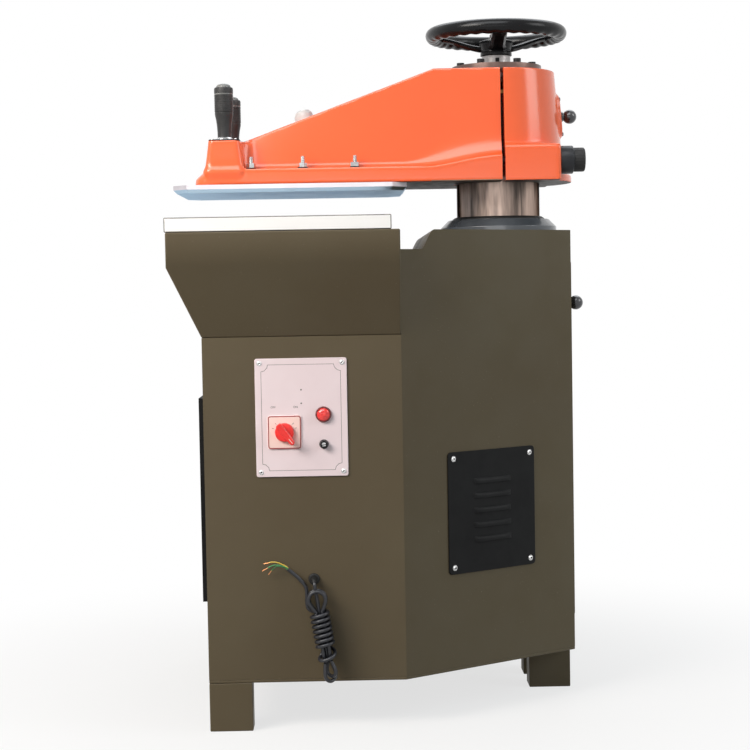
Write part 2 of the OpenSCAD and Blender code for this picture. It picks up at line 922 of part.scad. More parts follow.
module arm_casting() {
  color(orange) on_machine() difference() {
    union() {
      foot_form();
      beam_form(0, head_z);
      both_sides() tower();
      translate([0, 0, head_z]) cylinder(r1 = hub_r[0], r2 = hub_r[1], h = head_h);
    }
    block([hub_split[0], -300, head_z - 1], [300, 300, head_top + 1]);
    intersection() {
      beam_form(beam_wall, head_z - 1);
      block([arm_front, -foot_half, head_z - 2], [cavity_rear, foot_half, head_top]);
    }
    hub_bore();
    key_form(move_gap, head_z - 1, head_top - head_roof_t);
    at_studs() translate([0, 0, head_z - 1]) cylinder(d = stud_d + 1, h = foot_flange_t + 2);
    at_flange_screws() cylinder(d = flange_screw_d, h = 40, center = true);
    both_sides() along_x([-clamp_in, -clamp_y, clamp_z], clamp_d + 2 * run_fit, 2 * clamp_in);
  }
}

// Rear half of the hub, with its clamp bosses and the pad of the height lock
cap_r = [column_r + 53, column_r + 34];
cap_flange_r = column_r + 68;
cap_flange_t = 18;
boss_d = 68;
boss_round = 12;
boss_side = clamp_y + boss_d / 2;
lock_z = head_z + 141;
pad_h = 92;
pad_w = 58;
pad_lean = atan2(cap_r[0] - cap_r[1], head_h);
pad_out = 5;
lock_d = 14;
lock_r = mix(cap_r[0], cap_r[1], (lock_z - head_z) / head_h);

module pad_form() {
  translate([lock_r, 0, lock_z]) rotate([0, 90 - pad_lean, 0]) translate([0, 0, -20])
    linear_extrude(20 + pad_out) soft_square(pad_h, pad_w, pad_w / 2 - 0.5);
}

module rear_cap() {
  color(orange) on_machine() difference() {
    union() {
      translate([0, 0, head_z]) cylinder(r1 = cap_r[0], r2 = cap_r[1], h = head_h);
      intersection() {
        translate([0, 0, head_z]) cylinder(r = cap_flange_r, h = cap_flange_t);
        block([0, -boss_side, head_z], [cap_flange_r, boss_side, head_z + cap_flange_t]);
      }
      both_sides() {
        translate([0, -clamp_y, clamp_z]) rotate([0, 90, 0]) linear_extrude(boss_end)
          soft_square(boss_d, boss_d, boss_round);
        block([0, -boss_side, head_z], [boss_end, -boss_side + boss_d, clamp_z]);
      }
      pad_form();
    }
    block([-300, -300, head_z - 1], [hub_split[1], 300, head_top + 1]);
    both_sides() along_x([boss_end, -clamp_y, clamp_z], clamp_collar_d + 6, 200);
    hub_bore();
    at_flange_screws() cylinder(d = flange_screw_d, h = 40, center = true);
    both_sides() along_x([0, -clamp_y, clamp_z], clamp_d + 2 * run_fit, 200);
    along_x([0, 0, lock_z], lock_d + 2 * run_fit, 300);
  }
}

// Height lock: a spring plunger whose end bears on the column
lock_tip = column_r + 0.4;
lock_ball = lock_r + 25;

module lock_plunger() {
  color(black) on_machine() {
    along_x([lock_tip, 0, lock_z], lock_d, lock_ball - lock_tip);
    ball_knob([lock_r + pad_out + 2, 0, lock_z], lock_ball, 22);
  }
}

module clamp_knob() {
  color(black) on_machine() {
    along_x([-clamp_in + 2, -clamp_y, clamp_z], clamp_d, boss_end + clamp_in + 8);
    along_x([boss_end + move_gap, -clamp_y, clamp_z], clamp_collar_d, clamp_collar_l);
    along_x([boss_end + clamp_collar_l - 2, -clamp_y, clamp_z], clamp_grip_d,
      clamp_knob_end - boss_end - clamp_collar_l + 2);
  }
}

// Flange on the head and its screws
flange_r = 95;
flange_t = 14;
flange_bolt_r = 76;
flange_bore = 42;
flange_screw_d = 10;
flange_screw_l = 32;
flange_z = head_top;

module at_flange_screws() {
  for (i = [0:5]) rotate([0, 0, 60 * i]) translate([flange_bolt_r, 0, flange_z]) children();
}

module top_flange() {
  color(dark_steel) on_machine() difference() {
    ring(flange_bore / 2, flange_r, flange_z, flange_z + flange_t);
    at_flange_screws() cylinder(d = flange_screw_d, h = 60, center = true);
  }
}

module head_screws() {
  color(black) on_machine() {
    at_flange_screws() translate([0, 0, flange_t]) difference() {
      union() {
        cylinder(d = 16, h = 10);
        translate([0, 0, -flange_screw_l]) cylinder(d = flange_screw_d - 2 * fix_fit, h = flange_screw_l + 1);
      }
      translate([0, 0, 5]) cylinder(d = 9, h = 8, $fn = 6);
    }
    along_x([-clamp_in + 2, clamp_y, clamp_z], clamp_d - 2 * fix_fit, boss_end + clamp_in);
    translate([boss_end, clamp_y, clamp_z]) rotate([0, 90, 0]) cylinder(d = 32, h = 12, $fn = 6);
  }
}

// Platen with a bevel round its lower face, its studs and nuts
platen_cut = 30;
platen_bevel = 7;
platen_slice_t = 0.2;

// The platen's outline, moved inward by w
module platen_plan(w) {
  half = platen_w / 2;
  cut = platen_cut + w * tan(22.5);
  polygon([
    [cut, w - half], [platen_l - cut, w - half], [platen_l - w, cut - half], [platen_l - w, half - cut],
    [platen_l - cut, half - w], [cut, half - w], [w, half - cut], [w, cut - half]]);
}

module platen() {
  color(steel) on_machine() difference() {
    translate([platen_front, 0, platen_z]) hull() {
      linear_extrude(platen_slice_t) platen_plan(platen_bevel);
      translate([0, 0, platen_bevel]) linear_extrude(platen_t - platen_bevel) platen_plan(0);
    }
    at_studs() translate([0, 0, platen_z + stud_seat]) cylinder(d = stud_d, h = platen_t);
  }
}

module platen_studs() {
  color(steel) on_machine() at_studs() translate([0, 0, platen_z + stud_seat])
    cylinder(d = stud_d - 2 * fix_fit, h = foot_flange_top + stud_out - platen_z - stud_seat);
}

module platen_nuts() {
  color(steel) on_machine() at_studs() translate([0, 0, foot_flange_top]) difference() {
    union() {
      cylinder(d = 22, h = 2);
      cylinder(d = 19, h = 11, $fn = 6);
    }
    translate([0, 0, -1]) cylinder(d = stud_d, h = 20);
  }
}

// Grips with a thumb button in each
button_d = 30;
button_h = 8;
button_travel = 4;
button_stem_d = 12;
grip_body_h = grip_h - button_h;

module grip() {
  translate([tower_x, -tower_y, tower_top]) difference() {
    rotate_extrude() polygon([
      [0, 0], [grip_d / 2 - 4, 0], [grip_d / 2 - 4, 5], [grip_d / 2 - 5, 8], [grip_d / 2 - 4.4, 26],
      [grip_d / 2 - 1.5, 46], [grip_d / 2, 58], [grip_d / 2, grip_body_h - 2], [grip_d / 2 - 2, grip_body_h],
      [0, grip_body_h]]);
    translate([0, 0, grip_body_h - button_travel - 2.5]) cylinder(d = button_d + 2 * run_fit, h = 20);
    translate([0, 0, grip_body_h - 50]) cylinder(d = button_stem_d + 2 * run_fit, h = 60);
  }
}

module grips() {
  color(black) on_machine() both_sides() grip();
}

module button() {
  translate([tower_x, -tower_y, tower_top + grip_body_h]) {
    translate([0, 0, -1]) rotate_extrude() polygon([
      [0, -1], [button_d / 2, -1], [button_d / 2, button_h / 2], [button_d / 2 - 2, button_h - 1.5],
      [button_d / 2 - 6, button_h + 0.3], [0, button_h + 1]]);
    translate([0, 0, -40]) cylinder(d = button_stem_d, h = 40);
  }
}

module near_button() {
  color(dark_steel) on_machine() button();
}

module far_button() {
  color(dark_steel) on_machine() mirror([0, 1, 0]) button();
}

// Lifting screw and handwheel
collar_d = 60;
collar_low = flange_z + flange_t + move_gap;
hub_low = flange_z + 37;
wheel_hub_d = 71;
wheel_hub_h = 30;
rim_z = flange_z + 82;
rim_r = wheel_d / 2 - rim_d / 2;
spoke_w = 34;
spoke_t = 9;
wheel_bore_d = 24;
screw_low = head_z + 46;

module lift_screw() {
  color(steel) on_machine() difference() {
    union() {
      translate([0, 0, screw_low]) cylinder(d = lead_screw_d, h = flange_z - screw_low);
      translate([0, 0, flange_z - 15]) cylinder(d = 70, h = 15 - move_gap);
      translate([0, 0, flange_z - 1]) cylinder(d = flange_bore - 2 * run_fit, h = flange_t + 2);
      translate([0, 0, collar_low]) cylinder(d = collar_d, h = hub_low - collar_low);
      translate([0, 0, hub_low]) cylinder(d = wheel_bore_d, h = wheel_hub_h + 4);
    }
    translate([0, -collar_d / 2, hub_low - 10]) cube([8, 12, 8], center = true);
  }
}

module handwheel() {
  rise = atan2(rim_z - hub_low - 14, rim_r - 20);
  color(black) on_machine() difference() {
    union() {
      translate([0, 0, rim_z]) rotate_extrude() translate([rim_r, 0]) circle(d = rim_d);
      translate([0, 0, hub_low]) cylinder(d1 = wheel_hub_d - 3, d2 = wheel_hub_d, h = wheel_hub_h);
      for (a = [-90, 30, 150]) rotate([0, 0, a]) translate([20, 0, hub_low + 14]) rotate([0, -rise, 0])
        translate([0, -spoke_w / 2, -spoke_t / 2]) cube([(rim_r - 20) / cos(rise), spoke_w, spoke_t]);
    }
    translate([0, 0, hub_low - 1]) cylinder(d = wheel_bore_d + 2 * fix_fit, h = 2 * wheel_hub_h);
  }
}

// A tube swept along a line of points, with an even number of flat sides
function turn_frame(n, t0, t1) = let (c = cross(t0, t1), s = norm(c))
  s < 1e-9 ? n : let (k = c / s, a = atan2(s, t0 * t1))
    n * cos(a) + cross(k, n) * sin(a) + k * (k * n) * (1 - cos(a));
function tangents(p) = let (last = len(p) - 1)
  [for (i = [0:last]) unit(p[min(i + 1, last)] - p[max(i - 1, 0)])];
function first_normal(t) = unit(cross(t, abs(t[2]) < 0.9 ? [0, 0, 1] : [1, 0, 0]));
function normals(t) = [for (i = 0, n = first_normal(t[0]); i < len(t);
  i = i + 1, n = i < len(t) ? turn_frame(n, t[i - 1], t[i]) : n) n];
function ring_points(c, t, n, r, sides) = let (b = cross(t, n))
  [for (k = [0:sides - 1]) c + r * (cos(360 * k / sides) * n + sin(360 * k / sides) * b)];

module tube(line, r, sides) {
  t = tangents(line);
  n = normals(t);
  last = len(line) - 1;
  points = [for (i = [0:last]) each ring_points(line[i], t[i], n[i], r, sides)];
  walls = [for (i = [0:last - 1], k = [0:sides - 1]) let (a = i * sides, m = (k + 1) % sides)
    each [[a + k, a + sides + k, a + m], [a + m, a + sides + k, a + sides + m]]];
  caps = [for (k = [1:sides - 2]) each [[0, k, k + 1],
    [last * sides, last * sides + k + 1, last * sides + k]]];
  polyhedron(points, concat(walls, caps));
}

// A smooth line through chosen points, with some steps between each two
function bend(a, b, c, d, t) = 0.5 * (2 * b + (c - a) * t + (2 * a - 5 * b + 4 * c - d) * t * t
  + (3 * b - a - 3 * c + d) * t * t * t);
function curve(p, steps) = let (last = len(p) - 1) concat(
  [for (i = [0:last - 1], k = [0:steps - 1])
    bend(p[max(i - 1, 0)], p[i], p[i + 1], p[min(i + 2, last)], k / steps)], [p[last]]);

// The same line with a short straight run at each end, along its first and last chosen stretch
end_run = 1;
function squared(p, steps) = let (c = curve(p, steps), m = len(c) - 1, k = len(p) - 1)
  concat([c[0], c[0] + end_run * unit(p[1] - p[0])], [for (i = [1:m - 1]) c[i]],
    [c[m] - end_run * unit(p[k] - p[k - 1]), c[m]]);

// Mains cord, wound into a hank that hangs from its gland. In the hank's own frame u runs across,
// q out from its axis towards the viewer and w down from the gland.
hank_tilt = 9;
gland_barrel_d = 16;
gland_flange_d = 22;
gland_nose_d = 16;
gland_in = 20;
cord_bend = 12;
hank_axis = gland_out + cord_d + cord_bend;
run_r = cord_d + 0.6;
run_angle = 39;
eye_r = 16.5;
eye_q = cord_d + 1.2;
eye_w = 36;
waist_top = 64;
first_eye = [11, 153, 175];
second_eye = [12.5, 155, 183];
wrap_r = run_r + cord_d + 1.1;
wrap_pitch = cord_d + 2.4;
wrap_low = 151;
wrap_slack = 18;
slack_turn = 0.75;
leave_w = 131;
leave_sweep = 110;
leave_full = 0.8;
leave_rings = 12;
rings = 24;

function on_run(angle, w) = [run_r * cos(angle), run_r * sin(angle), w];

// The way from the gland out and down onto the hank's axis
start_line = concat(
  [[0, -hank_axis + gland_out, 0]],
  [for (i = [0:4]) let (a = 90 * i / 4)
    [0, -cord_bend + cord_bend * sin(a), cord_bend - cord_bend * cos(a)]],
  [[0, 0, 40], [0, 0, 90]]);

// An eye at the top, in front for side 1 and behind for side -1, from the right run to the left
function top_neck(side, turn) = [for (i = [0:6]) let (t = smooth(i / 6))
  [turn * mix(run_r * cos(run_angle), eye_r, t), side * mix(run_r * sin(run_angle), eye_q, t),
    mix(waist_top, eye_w, i / 6)]];
function top_eye(side) = concat(
  top_neck(side, 1),
  [for (i = [1:11]) let (a = 15 * i) [eye_r * cos(a), side * eye_q, eye_w - eye_r * sin(a)]],
  [for (p = [6:-1:0]) top_neck(side, -1)[p]]);

// An eye at the bottom along a direction, from one place across to another
function low_point(angle, s, w) = [s * cos(angle), s * sin(angle), w];
function low_neck(angle, from, to, size, t) =
  low_point(angle, mix(from, to, smooth(t)), mix(size[1], size[2], t));
function low_eye(angle, from, to, size) = let (mid = (from + to) / 2, way = from < to ? -1 : 1)
  concat(
    [for (i = [0:6]) low_neck(angle, from, mid + way * size[0], size, i / 6)],
    [for (i = [1:11]) let (a = 15 * i)
      low_point(angle, mid + way * size[0] * cos(a), size[2] + size[0] * sin(a))],
    [for (i = [6:-1:0]) low_neck(angle, to, mid - way * size[0], size, i / 6)]);

// The turns wound round the runs, from the bottom up; the first one hangs loose
run_out = 180 + run_angle;
wrap_start = run_out - leave_sweep;
wrap_turns = 7 + (wrap_start + 90) / 360;
function wrap_point(turn) = let (a = wrap_start - 360 * turn, rise = smooth(min(turn / slack_turn, 1)))
  [wrap_r * cos(a), wrap_r * sin(a), wrap_low - wrap_pitch * turn - wrap_slack * rise];
wrap_steps = round(rings * wrap_turns);
wraps = [for (i = [0:wrap_steps]) wrap_point(wrap_turns * i / wrap_steps)];

// The last run's way out onto the first turn
function leave_point(t) = let (out = smooth(min(t / leave_full, 1)))
  let (r = mix(run_r, wrap_r, out), a = run_out - leave_sweep * t * t)
  [r * cos(a), r * sin(a), mix(leave_w, wrap_low, t * (2 - t))];
leave_line = [for (i = [0:leave_rings - 1]) leave_point(i / leave_rings)];
hank_way = unit(wraps[wrap_steps] - wraps[wrap_steps - 1]);
hank_end = wraps[wrap_steps] + cord_d * hank_way;

hank_line = concat(
  start_line,
  low_eye(run_angle, 0, run_r, first_eye), [on_run(run_angle, 105)],
  top_eye(1), [on_run(180 - run_angle, 105)],
  low_eye(180 - run_angle, run_r, -run_r, second_eye), [on_run(-run_angle, 105)],
  top_eye(-1), [on_run(run_out, 97)],
  leave_line, wraps, [hank_end]);

// From the hank's frame to the machine's
function from_hank(p) = [
  gland_x + p[0] * cos(hank_tilt) + p[2] * sin(hank_tilt),
  near_y - hank_axis - p[1],
  gland_z + p[0] * sin(hank_tilt) - p[2] * cos(hank_tilt)];

// The least distance between stretches of the hank that aren't neighbours along it
function along(p) = [for (i = 0, s = 0; i < len(p); i = i + 1,
  s = s + (i < len(p) ? norm(p[i] - p[i - 1]) : 0)) s];
hank_along = along(hank_line);
hank_gap = min([for (i = [0:len(hank_line) - 1], j = [i + 1:len(hank_line) - 1])
  if (hank_along[j] - hank_along[i] > 3 * cord_d) norm(hank_line[i] - hank_line[j])]) - cord_d;
echo(hank_length = hank_along[len(hank_line) - 1], hank_gap = hank_gap);

module cord_hank() {
  color(black) on_machine() tube([for (p = hank_line) from_hank(p)], cord_d / 2, 6);
}

// The free end of the cord: its points go up behind the eyes and out to the left
tail_points = [
  hank_end, hank_end + cord_d * hank_way, [-20.5, -17, 52], [-21, -17.5, 40], [-18, -17.5, 24],
  [-18.5, -17, 9], [-28, -16, -8], [-40, -14.5, -23], [-46, -14, -30]];
tail_line = squared(tail_points, 3);

module cord_tail() {
  color(black) on_machine() tube([for (p = tail_line) from_hank(p)], cord_d / 2, 8);
}

core_d = 2.2;
tail_last = len(tail_line) - 1;
tail_end = tail_line[tail_last];
tail_way = unit(tail_end - tail_line[tail_last - 1]);
core_out = 1.7;
core_ends = [[-48, 3, -5], [-43, -4, -17], [-38, -3, 5]];
core_side = first_normal(tail_way);
core_up = cross(tail_way, core_side);

// A core from the end of the jacket, fanned out from the other two
function core_line(i) = let (from = tail_end + core_out * (cos(120 * i) * core_side + sin(120 * i) * core_up))
  squared([from, from + 6 * tail_way, from + 14 * tail_way + 0.3 * core_ends[i], tail_end + core_ends[i]], 4);

module cord_cores() {
  color(bronze) on_machine() for (i = [0:2]) tube([for (p = core_line(i)) from_hank(p)], core_d / 2, 8);
}

module cord_gland() {
  color(black) on_machine() on_near_face(gland_x, gland_z) {
    cylinder(d1 = gland_flange_d, d2 = gland_flange_d - 2, h = gland_out / 2);
    cylinder(d = gland_nose_d, h = gland_out);
    translate([0, 0, -gland_in]) cylinder(d = gland_barrel_d, h = gland_in + 1);
    translate([0, 0, -gland_in]) cylinder(d = gland_flange_d, h = gland_in - sheet_t);
  }
}

cabinet_shell();
floor_pan();
legs();
table_skirt();
bed_plate();
bed_webs();
cutting_board();
deck_collar();
collar_screws();
wiper_seal();
guide_tube();
guide_bushes();
cylinder_barrel();
cylinder_head();
return_spring();
spring_seat();
oil_tank();
motor_body();
motor_rotor();
gear_pump();
valve_block();
hydraulic_hoses();
contactor_box();
front_cover();
vent_covers();
panel_screws();
control_plate();
switch_plate();
switch_body();
switch_knob();
lamp_body();
lamp_lens();
fuse_holder();
fuse_cap();
rear_door();
door_hinges();
door_knob();
column_tube();
piston();
feather_key();
lift_nut();
arm_casting();
rear_cap();
lock_plunger();
clamp_knob();
top_flange();
head_screws();
platen();
platen_studs();
platen_nuts();
grips();
near_button();
far_button();
lift_screw();
handwheel();
cord_gland();
cord_hank();
cord_tail();
cord_cores();
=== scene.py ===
import json
import math
import bmesh
import bpy
from mathutils import Matrix, Quaternion, Vector


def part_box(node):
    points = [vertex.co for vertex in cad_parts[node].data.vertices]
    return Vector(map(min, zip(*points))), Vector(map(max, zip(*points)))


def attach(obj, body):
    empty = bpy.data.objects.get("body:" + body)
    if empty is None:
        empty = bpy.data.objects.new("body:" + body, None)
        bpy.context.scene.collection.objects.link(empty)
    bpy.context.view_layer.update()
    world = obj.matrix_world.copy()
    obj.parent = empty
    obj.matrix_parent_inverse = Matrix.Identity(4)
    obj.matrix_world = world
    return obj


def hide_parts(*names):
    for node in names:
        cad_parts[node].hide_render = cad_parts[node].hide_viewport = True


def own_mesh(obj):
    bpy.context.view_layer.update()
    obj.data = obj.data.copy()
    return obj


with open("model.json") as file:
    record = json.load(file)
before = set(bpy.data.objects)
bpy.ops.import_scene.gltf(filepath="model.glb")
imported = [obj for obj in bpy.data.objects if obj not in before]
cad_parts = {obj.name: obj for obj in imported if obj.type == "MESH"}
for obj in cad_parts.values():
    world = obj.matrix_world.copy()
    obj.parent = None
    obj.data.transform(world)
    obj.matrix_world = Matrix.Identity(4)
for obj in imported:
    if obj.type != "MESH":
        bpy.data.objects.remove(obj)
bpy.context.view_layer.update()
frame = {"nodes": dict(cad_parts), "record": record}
scene = bpy.context.scene
MM = 0.001
BODY = {n: b for b, ns in frame["record"]["behaviour"]["bodies"].items() for n in ns}

# Camera, solved from the straight edges in the photograph
CAMERA_AT = Vector((-0.067, -3.685, 0.8584))
CAMERA_LENS = 82.55
CAMERA_YAW = 0.0140
CAMERA_PITCH = 0.0529
CAMERA_ROLL = math.radians(-1.0)
CAMERA_REACH = 100.0
SENSOR_W = 36.0


def linked(name, data):
    """A new object in the scene."""
    ob = bpy.data.objects.new(name, data)
    scene.collection.objects.link(ob)
    return ob


def make_camera():
    level = math.cos(CAMERA_PITCH)
    look = Vector((math.sin(CAMERA_YAW) * level, math.cos(CAMERA_YAW) * level, -math.sin(CAMERA_PITCH)))
    data = bpy.data.cameras.new("camera")
    data.lens = CAMERA_LENS
    data.sensor_width = SENSOR_W
    data.clip_end = CAMERA_REACH
    camera = linked("camera", data)
    camera.location = CAMERA_AT
    camera.rotation_mode = "QUATERNION"
    camera.rotation_quaternion = look.to_track_quat("-Z", "Y") @ Quaternion((0.0, 0.0, 1.0), CAMERA_ROLL)
    scene.camera = camera
    scene.view_settings.view_transform = "Standard"


make_camera()


# Small mathematics
def mix(a, b, t):
    return a + (b - a) * t


def smooth(t):
    t = min(max(t, 0.0), 1.0)
    return t * t * (3 - 2 * t)


def even(count):
    """Even steps from 0 to 1."""
    return [i / count for i in range(count + 1)]


def cosd(a):
    return math.cos(math.radians(a))


def sind(a):
    return math.sin(math.radians(a))


def box_mm(node):
    """A node's lowest and highest corners in millimetres."""
    low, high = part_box(node)
    return Vector(low) / MM, Vector(high) / MM


def middle(node):
    low, high = box_mm(node)
    return (low + high) / 2


def spot(x, y, z):
    """A point given in millimetres, in metres."""
    return Vector((x, y, z)) * MM


def moved(x, y, z):
    return Matrix.Translation(spot(x, y, z))


def turned(degrees, axis):
    return Matrix.Rotation(math.radians(degrees), 4, axis)


def catmull(points, steps):
    """A smooth line through points."""
    out = []
    last = len(points) - 1
    for i in range(last):
        a, b = points[max(i - 1, 0)], points[i]
        c, d = points[i + 1], points[min(i + 2, last)]
        for k in range(steps):
            t = k / steps
            out.append(0.5 * (2 * b + (c - a) * t + (2 * a - 5 * b + 4 * c - d) * t * t
                              + (3 * b - a - 3 * c + d) * t * t * t))
    out.append(points[last])
    return out


def fillet(points, radius, steps=3, closed=False):
    """A flat outline with its corners rounded, by one radius or one for each corner."""
    out = []
    n = len(points)
    for i, p in enumerate(points):
        r = radius[i] if isinstance(radius, (list, tuple)) else radius
        if r <= 0 or (not closed and i in (0, n - 1)):
            out.append(tuple(p))
            continue
        p = Vector(p)
        a, b = Vector(points[i - 1]) - p, Vector(points[(i + 1) % n]) - p
        cut = min(r, a.length * 0.45, b.length * 0.45)
        a, b = p + a.normalized() * cut, p + b.normalized() * cut
        for t in even(steps):
            out.append(tuple(a * (1 - t) ** 2 + p * 2 * t * (1 - t) + b * t * t))
    return out


def soft_square(w, h, r, steps=5):
    return fillet([(-w / 2, -h / 2), (w / 2, -h / 2), (w / 2, h / 2), (-w / 2, h / 2)], r, steps, True)


def hexagon(across):
    r = across / 2 / cosd(30)
    return [(r * cosd(60 * i), r * sind(60 * i)) for i in range(6)]


def inset(outline, by):
    """A flat closed outline moved inward."""
    n = len(outline)
    pairs = [(outline[i], outline[(i + 1) % n]) for i in range(n)]
    way = 1 if sum(p[0] * q[1] - q[0] * p[1] for p, q in pairs) > 0 else -1
    out = []
    for i in range(n):
        p = Vector(outline[i])
        a = (p - Vector(outline[i - 1])).normalized()
        b = (Vector(outline[(i + 1) % n]) - p).normalized()
        na, nb = Vector((-a.y, a.x)) * way, Vector((-b.y, b.x)) * way
        out.append(tuple(p + (na + nb) * (by / max(0.3, 1 + na.dot(nb)))))
    return out


# Materials: colour clouds, patches of roughness and a fine relief, all worked out by nodes
CLOUD_RANGE = (0.3, 0.7)
PATCHES_A_CLOUD = 5
SPECK_EDGE = 0.03
SHADE_ABOVE_EDGE = 6 * MM
BUMP_STRENGTH = 0.6
COAT_ROUGHNESS = 0.12


def node_material(name):
    m = bpy.data.materials.new(name)
    m.use_nodes = True
    return m, m.node_tree, m.node_tree.nodes["Principled BSDF"]


def put(node, values):
    """Sets a node's sockets by their names."""
    for name, value in values.items():
        node.inputs[name].default_value = value


def noise(t, coords, scale, detail=3.0, rough=0.55, stretch=None):
    n = t.nodes.new("ShaderNodeTexNoise")
    put(n, {"Scale": scale, "Detail": detail, "Roughness": rough})
    if stretch:
        m = t.nodes.new("ShaderNodeMapping")
        put(m, {"Scale": stretch})
        t.links.new(coords, m.inputs["Vector"])
        coords = m.outputs["Vector"]
    t.links.new(coords, n.inputs["Vector"])
    return n.outputs["Fac"]


def spread(t, value, low, high, to_low, to_high):
    n = t.nodes.new("ShaderNodeMapRange")
    n.interpolation_type = "SMOOTHSTEP"
    put(n, {"From Min": low, "From Max": high, "To Min": to_low, "To Max": to_high})
    t.links.new(value, n.inputs["Value"])
    return n.outputs["Result"]


def blend_colour(t, factor, a, b):
    n = t.nodes.new("ShaderNodeMix")
    n.data_type = "RGBA"
    t.links.new(factor, n.inputs["Factor"])
    for socket, value in ((n.inputs[6], a), (n.inputs[7], b)):
        if isinstance(value, tuple):
            socket.default_value = (*value, 1.0)
        else:
            t.links.new(value, socket)
    return n.outputs[2]


def surface(name, low, high, rough, grain, relief, cloud=4.0, metallic=0.0, coat=0.0, specular=0.5,
            specks=None, stretch=None, cloud_stretch=None, shade_above=None, rim=(1, 1, 1)):
    """low and high are the two colours, rough its range, grain the relief's scale a metre and relief its
    depth in mm. specks are a scale, a threshold and a colour, the painted shade a height and the dark colour
    above it, and rim the tint of a metal where it turns away."""
    m, t, s = node_material(name)
    coords = t.nodes.new("ShaderNodeTexCoord").outputs["Object"]
    clouds = noise(t, coords, cloud, 4.0, 0.6, cloud_stretch)
    colour = blend_colour(t, spread(t, clouds, *CLOUD_RANGE, 0.0, 1.0), low, high)
    if specks:
        scale, start, tint = specks
        spots = noise(t, coords, scale, 2.0, 0.5)
        colour = blend_colour(t, spread(t, spots, start, start + SPECK_EDGE, 0.0, 1.0), colour, tint)
    # Above a height the colour turns dark: a band of painted shade.
    if shade_above:
        level, tint = shade_above
        axes = t.nodes.new("ShaderNodeSeparateXYZ")
        t.links.new(coords, axes.inputs[0])
        above = spread(t, axes.outputs["Z"], level, level + SHADE_ABOVE_EDGE, 0.0, 1.0)
        colour = blend_colour(t, above, colour, tint)
    t.links.new(colour, s.inputs["Base Color"])
    patches = noise(t, coords, cloud * PATCHES_A_CLOUD, 3.0, 0.6)
    t.links.new(spread(t, patches, *CLOUD_RANGE, *rough), s.inputs["Roughness"])
    bump = t.nodes.new("ShaderNodeBump")
    put(bump, {"Strength": BUMP_STRENGTH, "Distance": relief * MM})
    t.links.new(noise(t, coords, grain, 2.0, 0.5, stretch), bump.inputs["Height"])
    t.links.new(bump.outputs["Normal"], s.inputs["Normal"])
    put(s, {"Metallic": metallic, "Specular IOR Level": specular, "Specular Tint": (*rim, 1.0)})
    put(s, {"Coat Weight": coat, "Coat Roughness": COAT_ROUGHNESS})
    return m


OLIVE = surface("olive_paint", (0.081, 0.062, 0.035), (0.093, 0.075, 0.045), (0.44, 0.60), 900, 0.10, 2.2,
                specular=0.26, specks=(420, 0.735, (0.20, 0.18, 0.14)))
ORANGE = surface("orange_paint", (0.87, 0.117, 0.024), (0.91, 0.130, 0.032), (0.19, 0.265), 160, 0.05, 1.6,
                 coat=0.45, specular=0.4)
BARE_CAST = surface("bare_casting", (0.045, 0.040, 0.036), (0.085, 0.075, 0.066), (0.45, 0.65), 240, 0.2, 9.0,
                    metallic=0.5, specular=0.3)
BARE_EDGE = surface("bare_edge", (0.30, 0.22, 0.15), (0.42, 0.33, 0.24), (0.40, 0.60), 260, 0.15, 18.0)
BLACK_SHEET = surface("black_sheet_paint", (0.004, 0.004, 0.0044), (0.007, 0.0074, 0.0078), (0.48, 0.62),
                      1100, 0.06, 6.0, specular=0.14)
DARK_GREY = surface("dark_grey_paint", (0.045, 0.051, 0.060), (0.085, 0.094, 0.108), (0.17, 0.265), 400,
                    0.06, 9.0, coat=0.4, specular=0.5)
INNER_STEEL = surface("inner_steel", (0.16, 0.165, 0.17), (0.25, 0.25, 0.255), (0.35, 0.55), 300, 0.05, 8.0,
                      metallic=0.6)
# The column's streaks, from near black to tan, and its dark rim tint are painted reflections.
TURNED = surface("turned_steel", (0.016, 0.016, 0.016), (0.45, 0.34, 0.285), (0.28, 0.38), 30, 0.05, 6.0,
                 metallic=1.0, stretch=(1.5, 1.5, 16.0), cloud_stretch=(5.0, 5.0, 0.5),
                 # The column darkens above the arm's underside: painted shade where it runs inside the arm's
                 # hub.
                 shade_above=(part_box("arm_casting")[0][2] + 8 * MM, (0.014, 0.011, 0.010)), rim=(0.2, 0.2, 0.2))
SILVER = surface("silver_collar", (0.22, 0.205, 0.20), (0.44, 0.42, 0.41), (0.28, 0.40), 60, 0.02, 30.0,
                 metallic=1.0, stretch=(1.5, 1.5, 40.0))
BRIGHT = surface("bright_plating", (0.50, 0.50, 0.50), (0.66, 0.66, 0.655), (0.16, 0.265), 900, 0.02, 60.0,
                 metallic=1.0)
BLACKENED = surface("blackened_steel", (0.010, 0.010, 0.011), (0.024, 0.024, 0.026), (0.30, 0.48), 700, 0.03,
                    50.0, metallic=0.4, specular=0.3)
BRONZE = surface("bronze", (0.42, 0.25, 0.09), (0.55, 0.34, 0.14), (0.28, 0.40), 200, 0.03, 8.0, metallic=1.0)
ALUMINIUM = surface("milled_aluminium", (0.60, 0.56, 0.585), (0.72, 0.67, 0.70), (0.28, 0.38), 60, 0.01, 7.0,
                    metallic=1.0, stretch=(1.0, 40.0, 40.0), cloud_stretch=(0.4, 4.0, 4.0))
# The platen's downward faces: their bluish colour and edge tint are a painted reflection.
UNDERSIDE_REFLECTION = surface("platen_underside_painted_reflection", (0.45, 0.585, 0.70), (0.50, 0.645, 0.77), (0.28, 0.36), 60, 0.01, 6.0,
                      metallic=1.0, stretch=(1.0, 40.0, 1.0), cloud_stretch=(0.5, 3.0, 1.0),
                      rim=(0.46, 0.60, 0.72))
# The platen's upward faces: rougher, and darker as painted shade.
PLATEN_TOP_SHADE = surface("platen_top_painted_shade", (0.16, 0.15, 0.155), (0.22, 0.205, 0.21), (0.50, 0.65), 60, 0.02, 8.0,
                    metallic=1.0, stretch=(1.0, 30.0, 1.0))
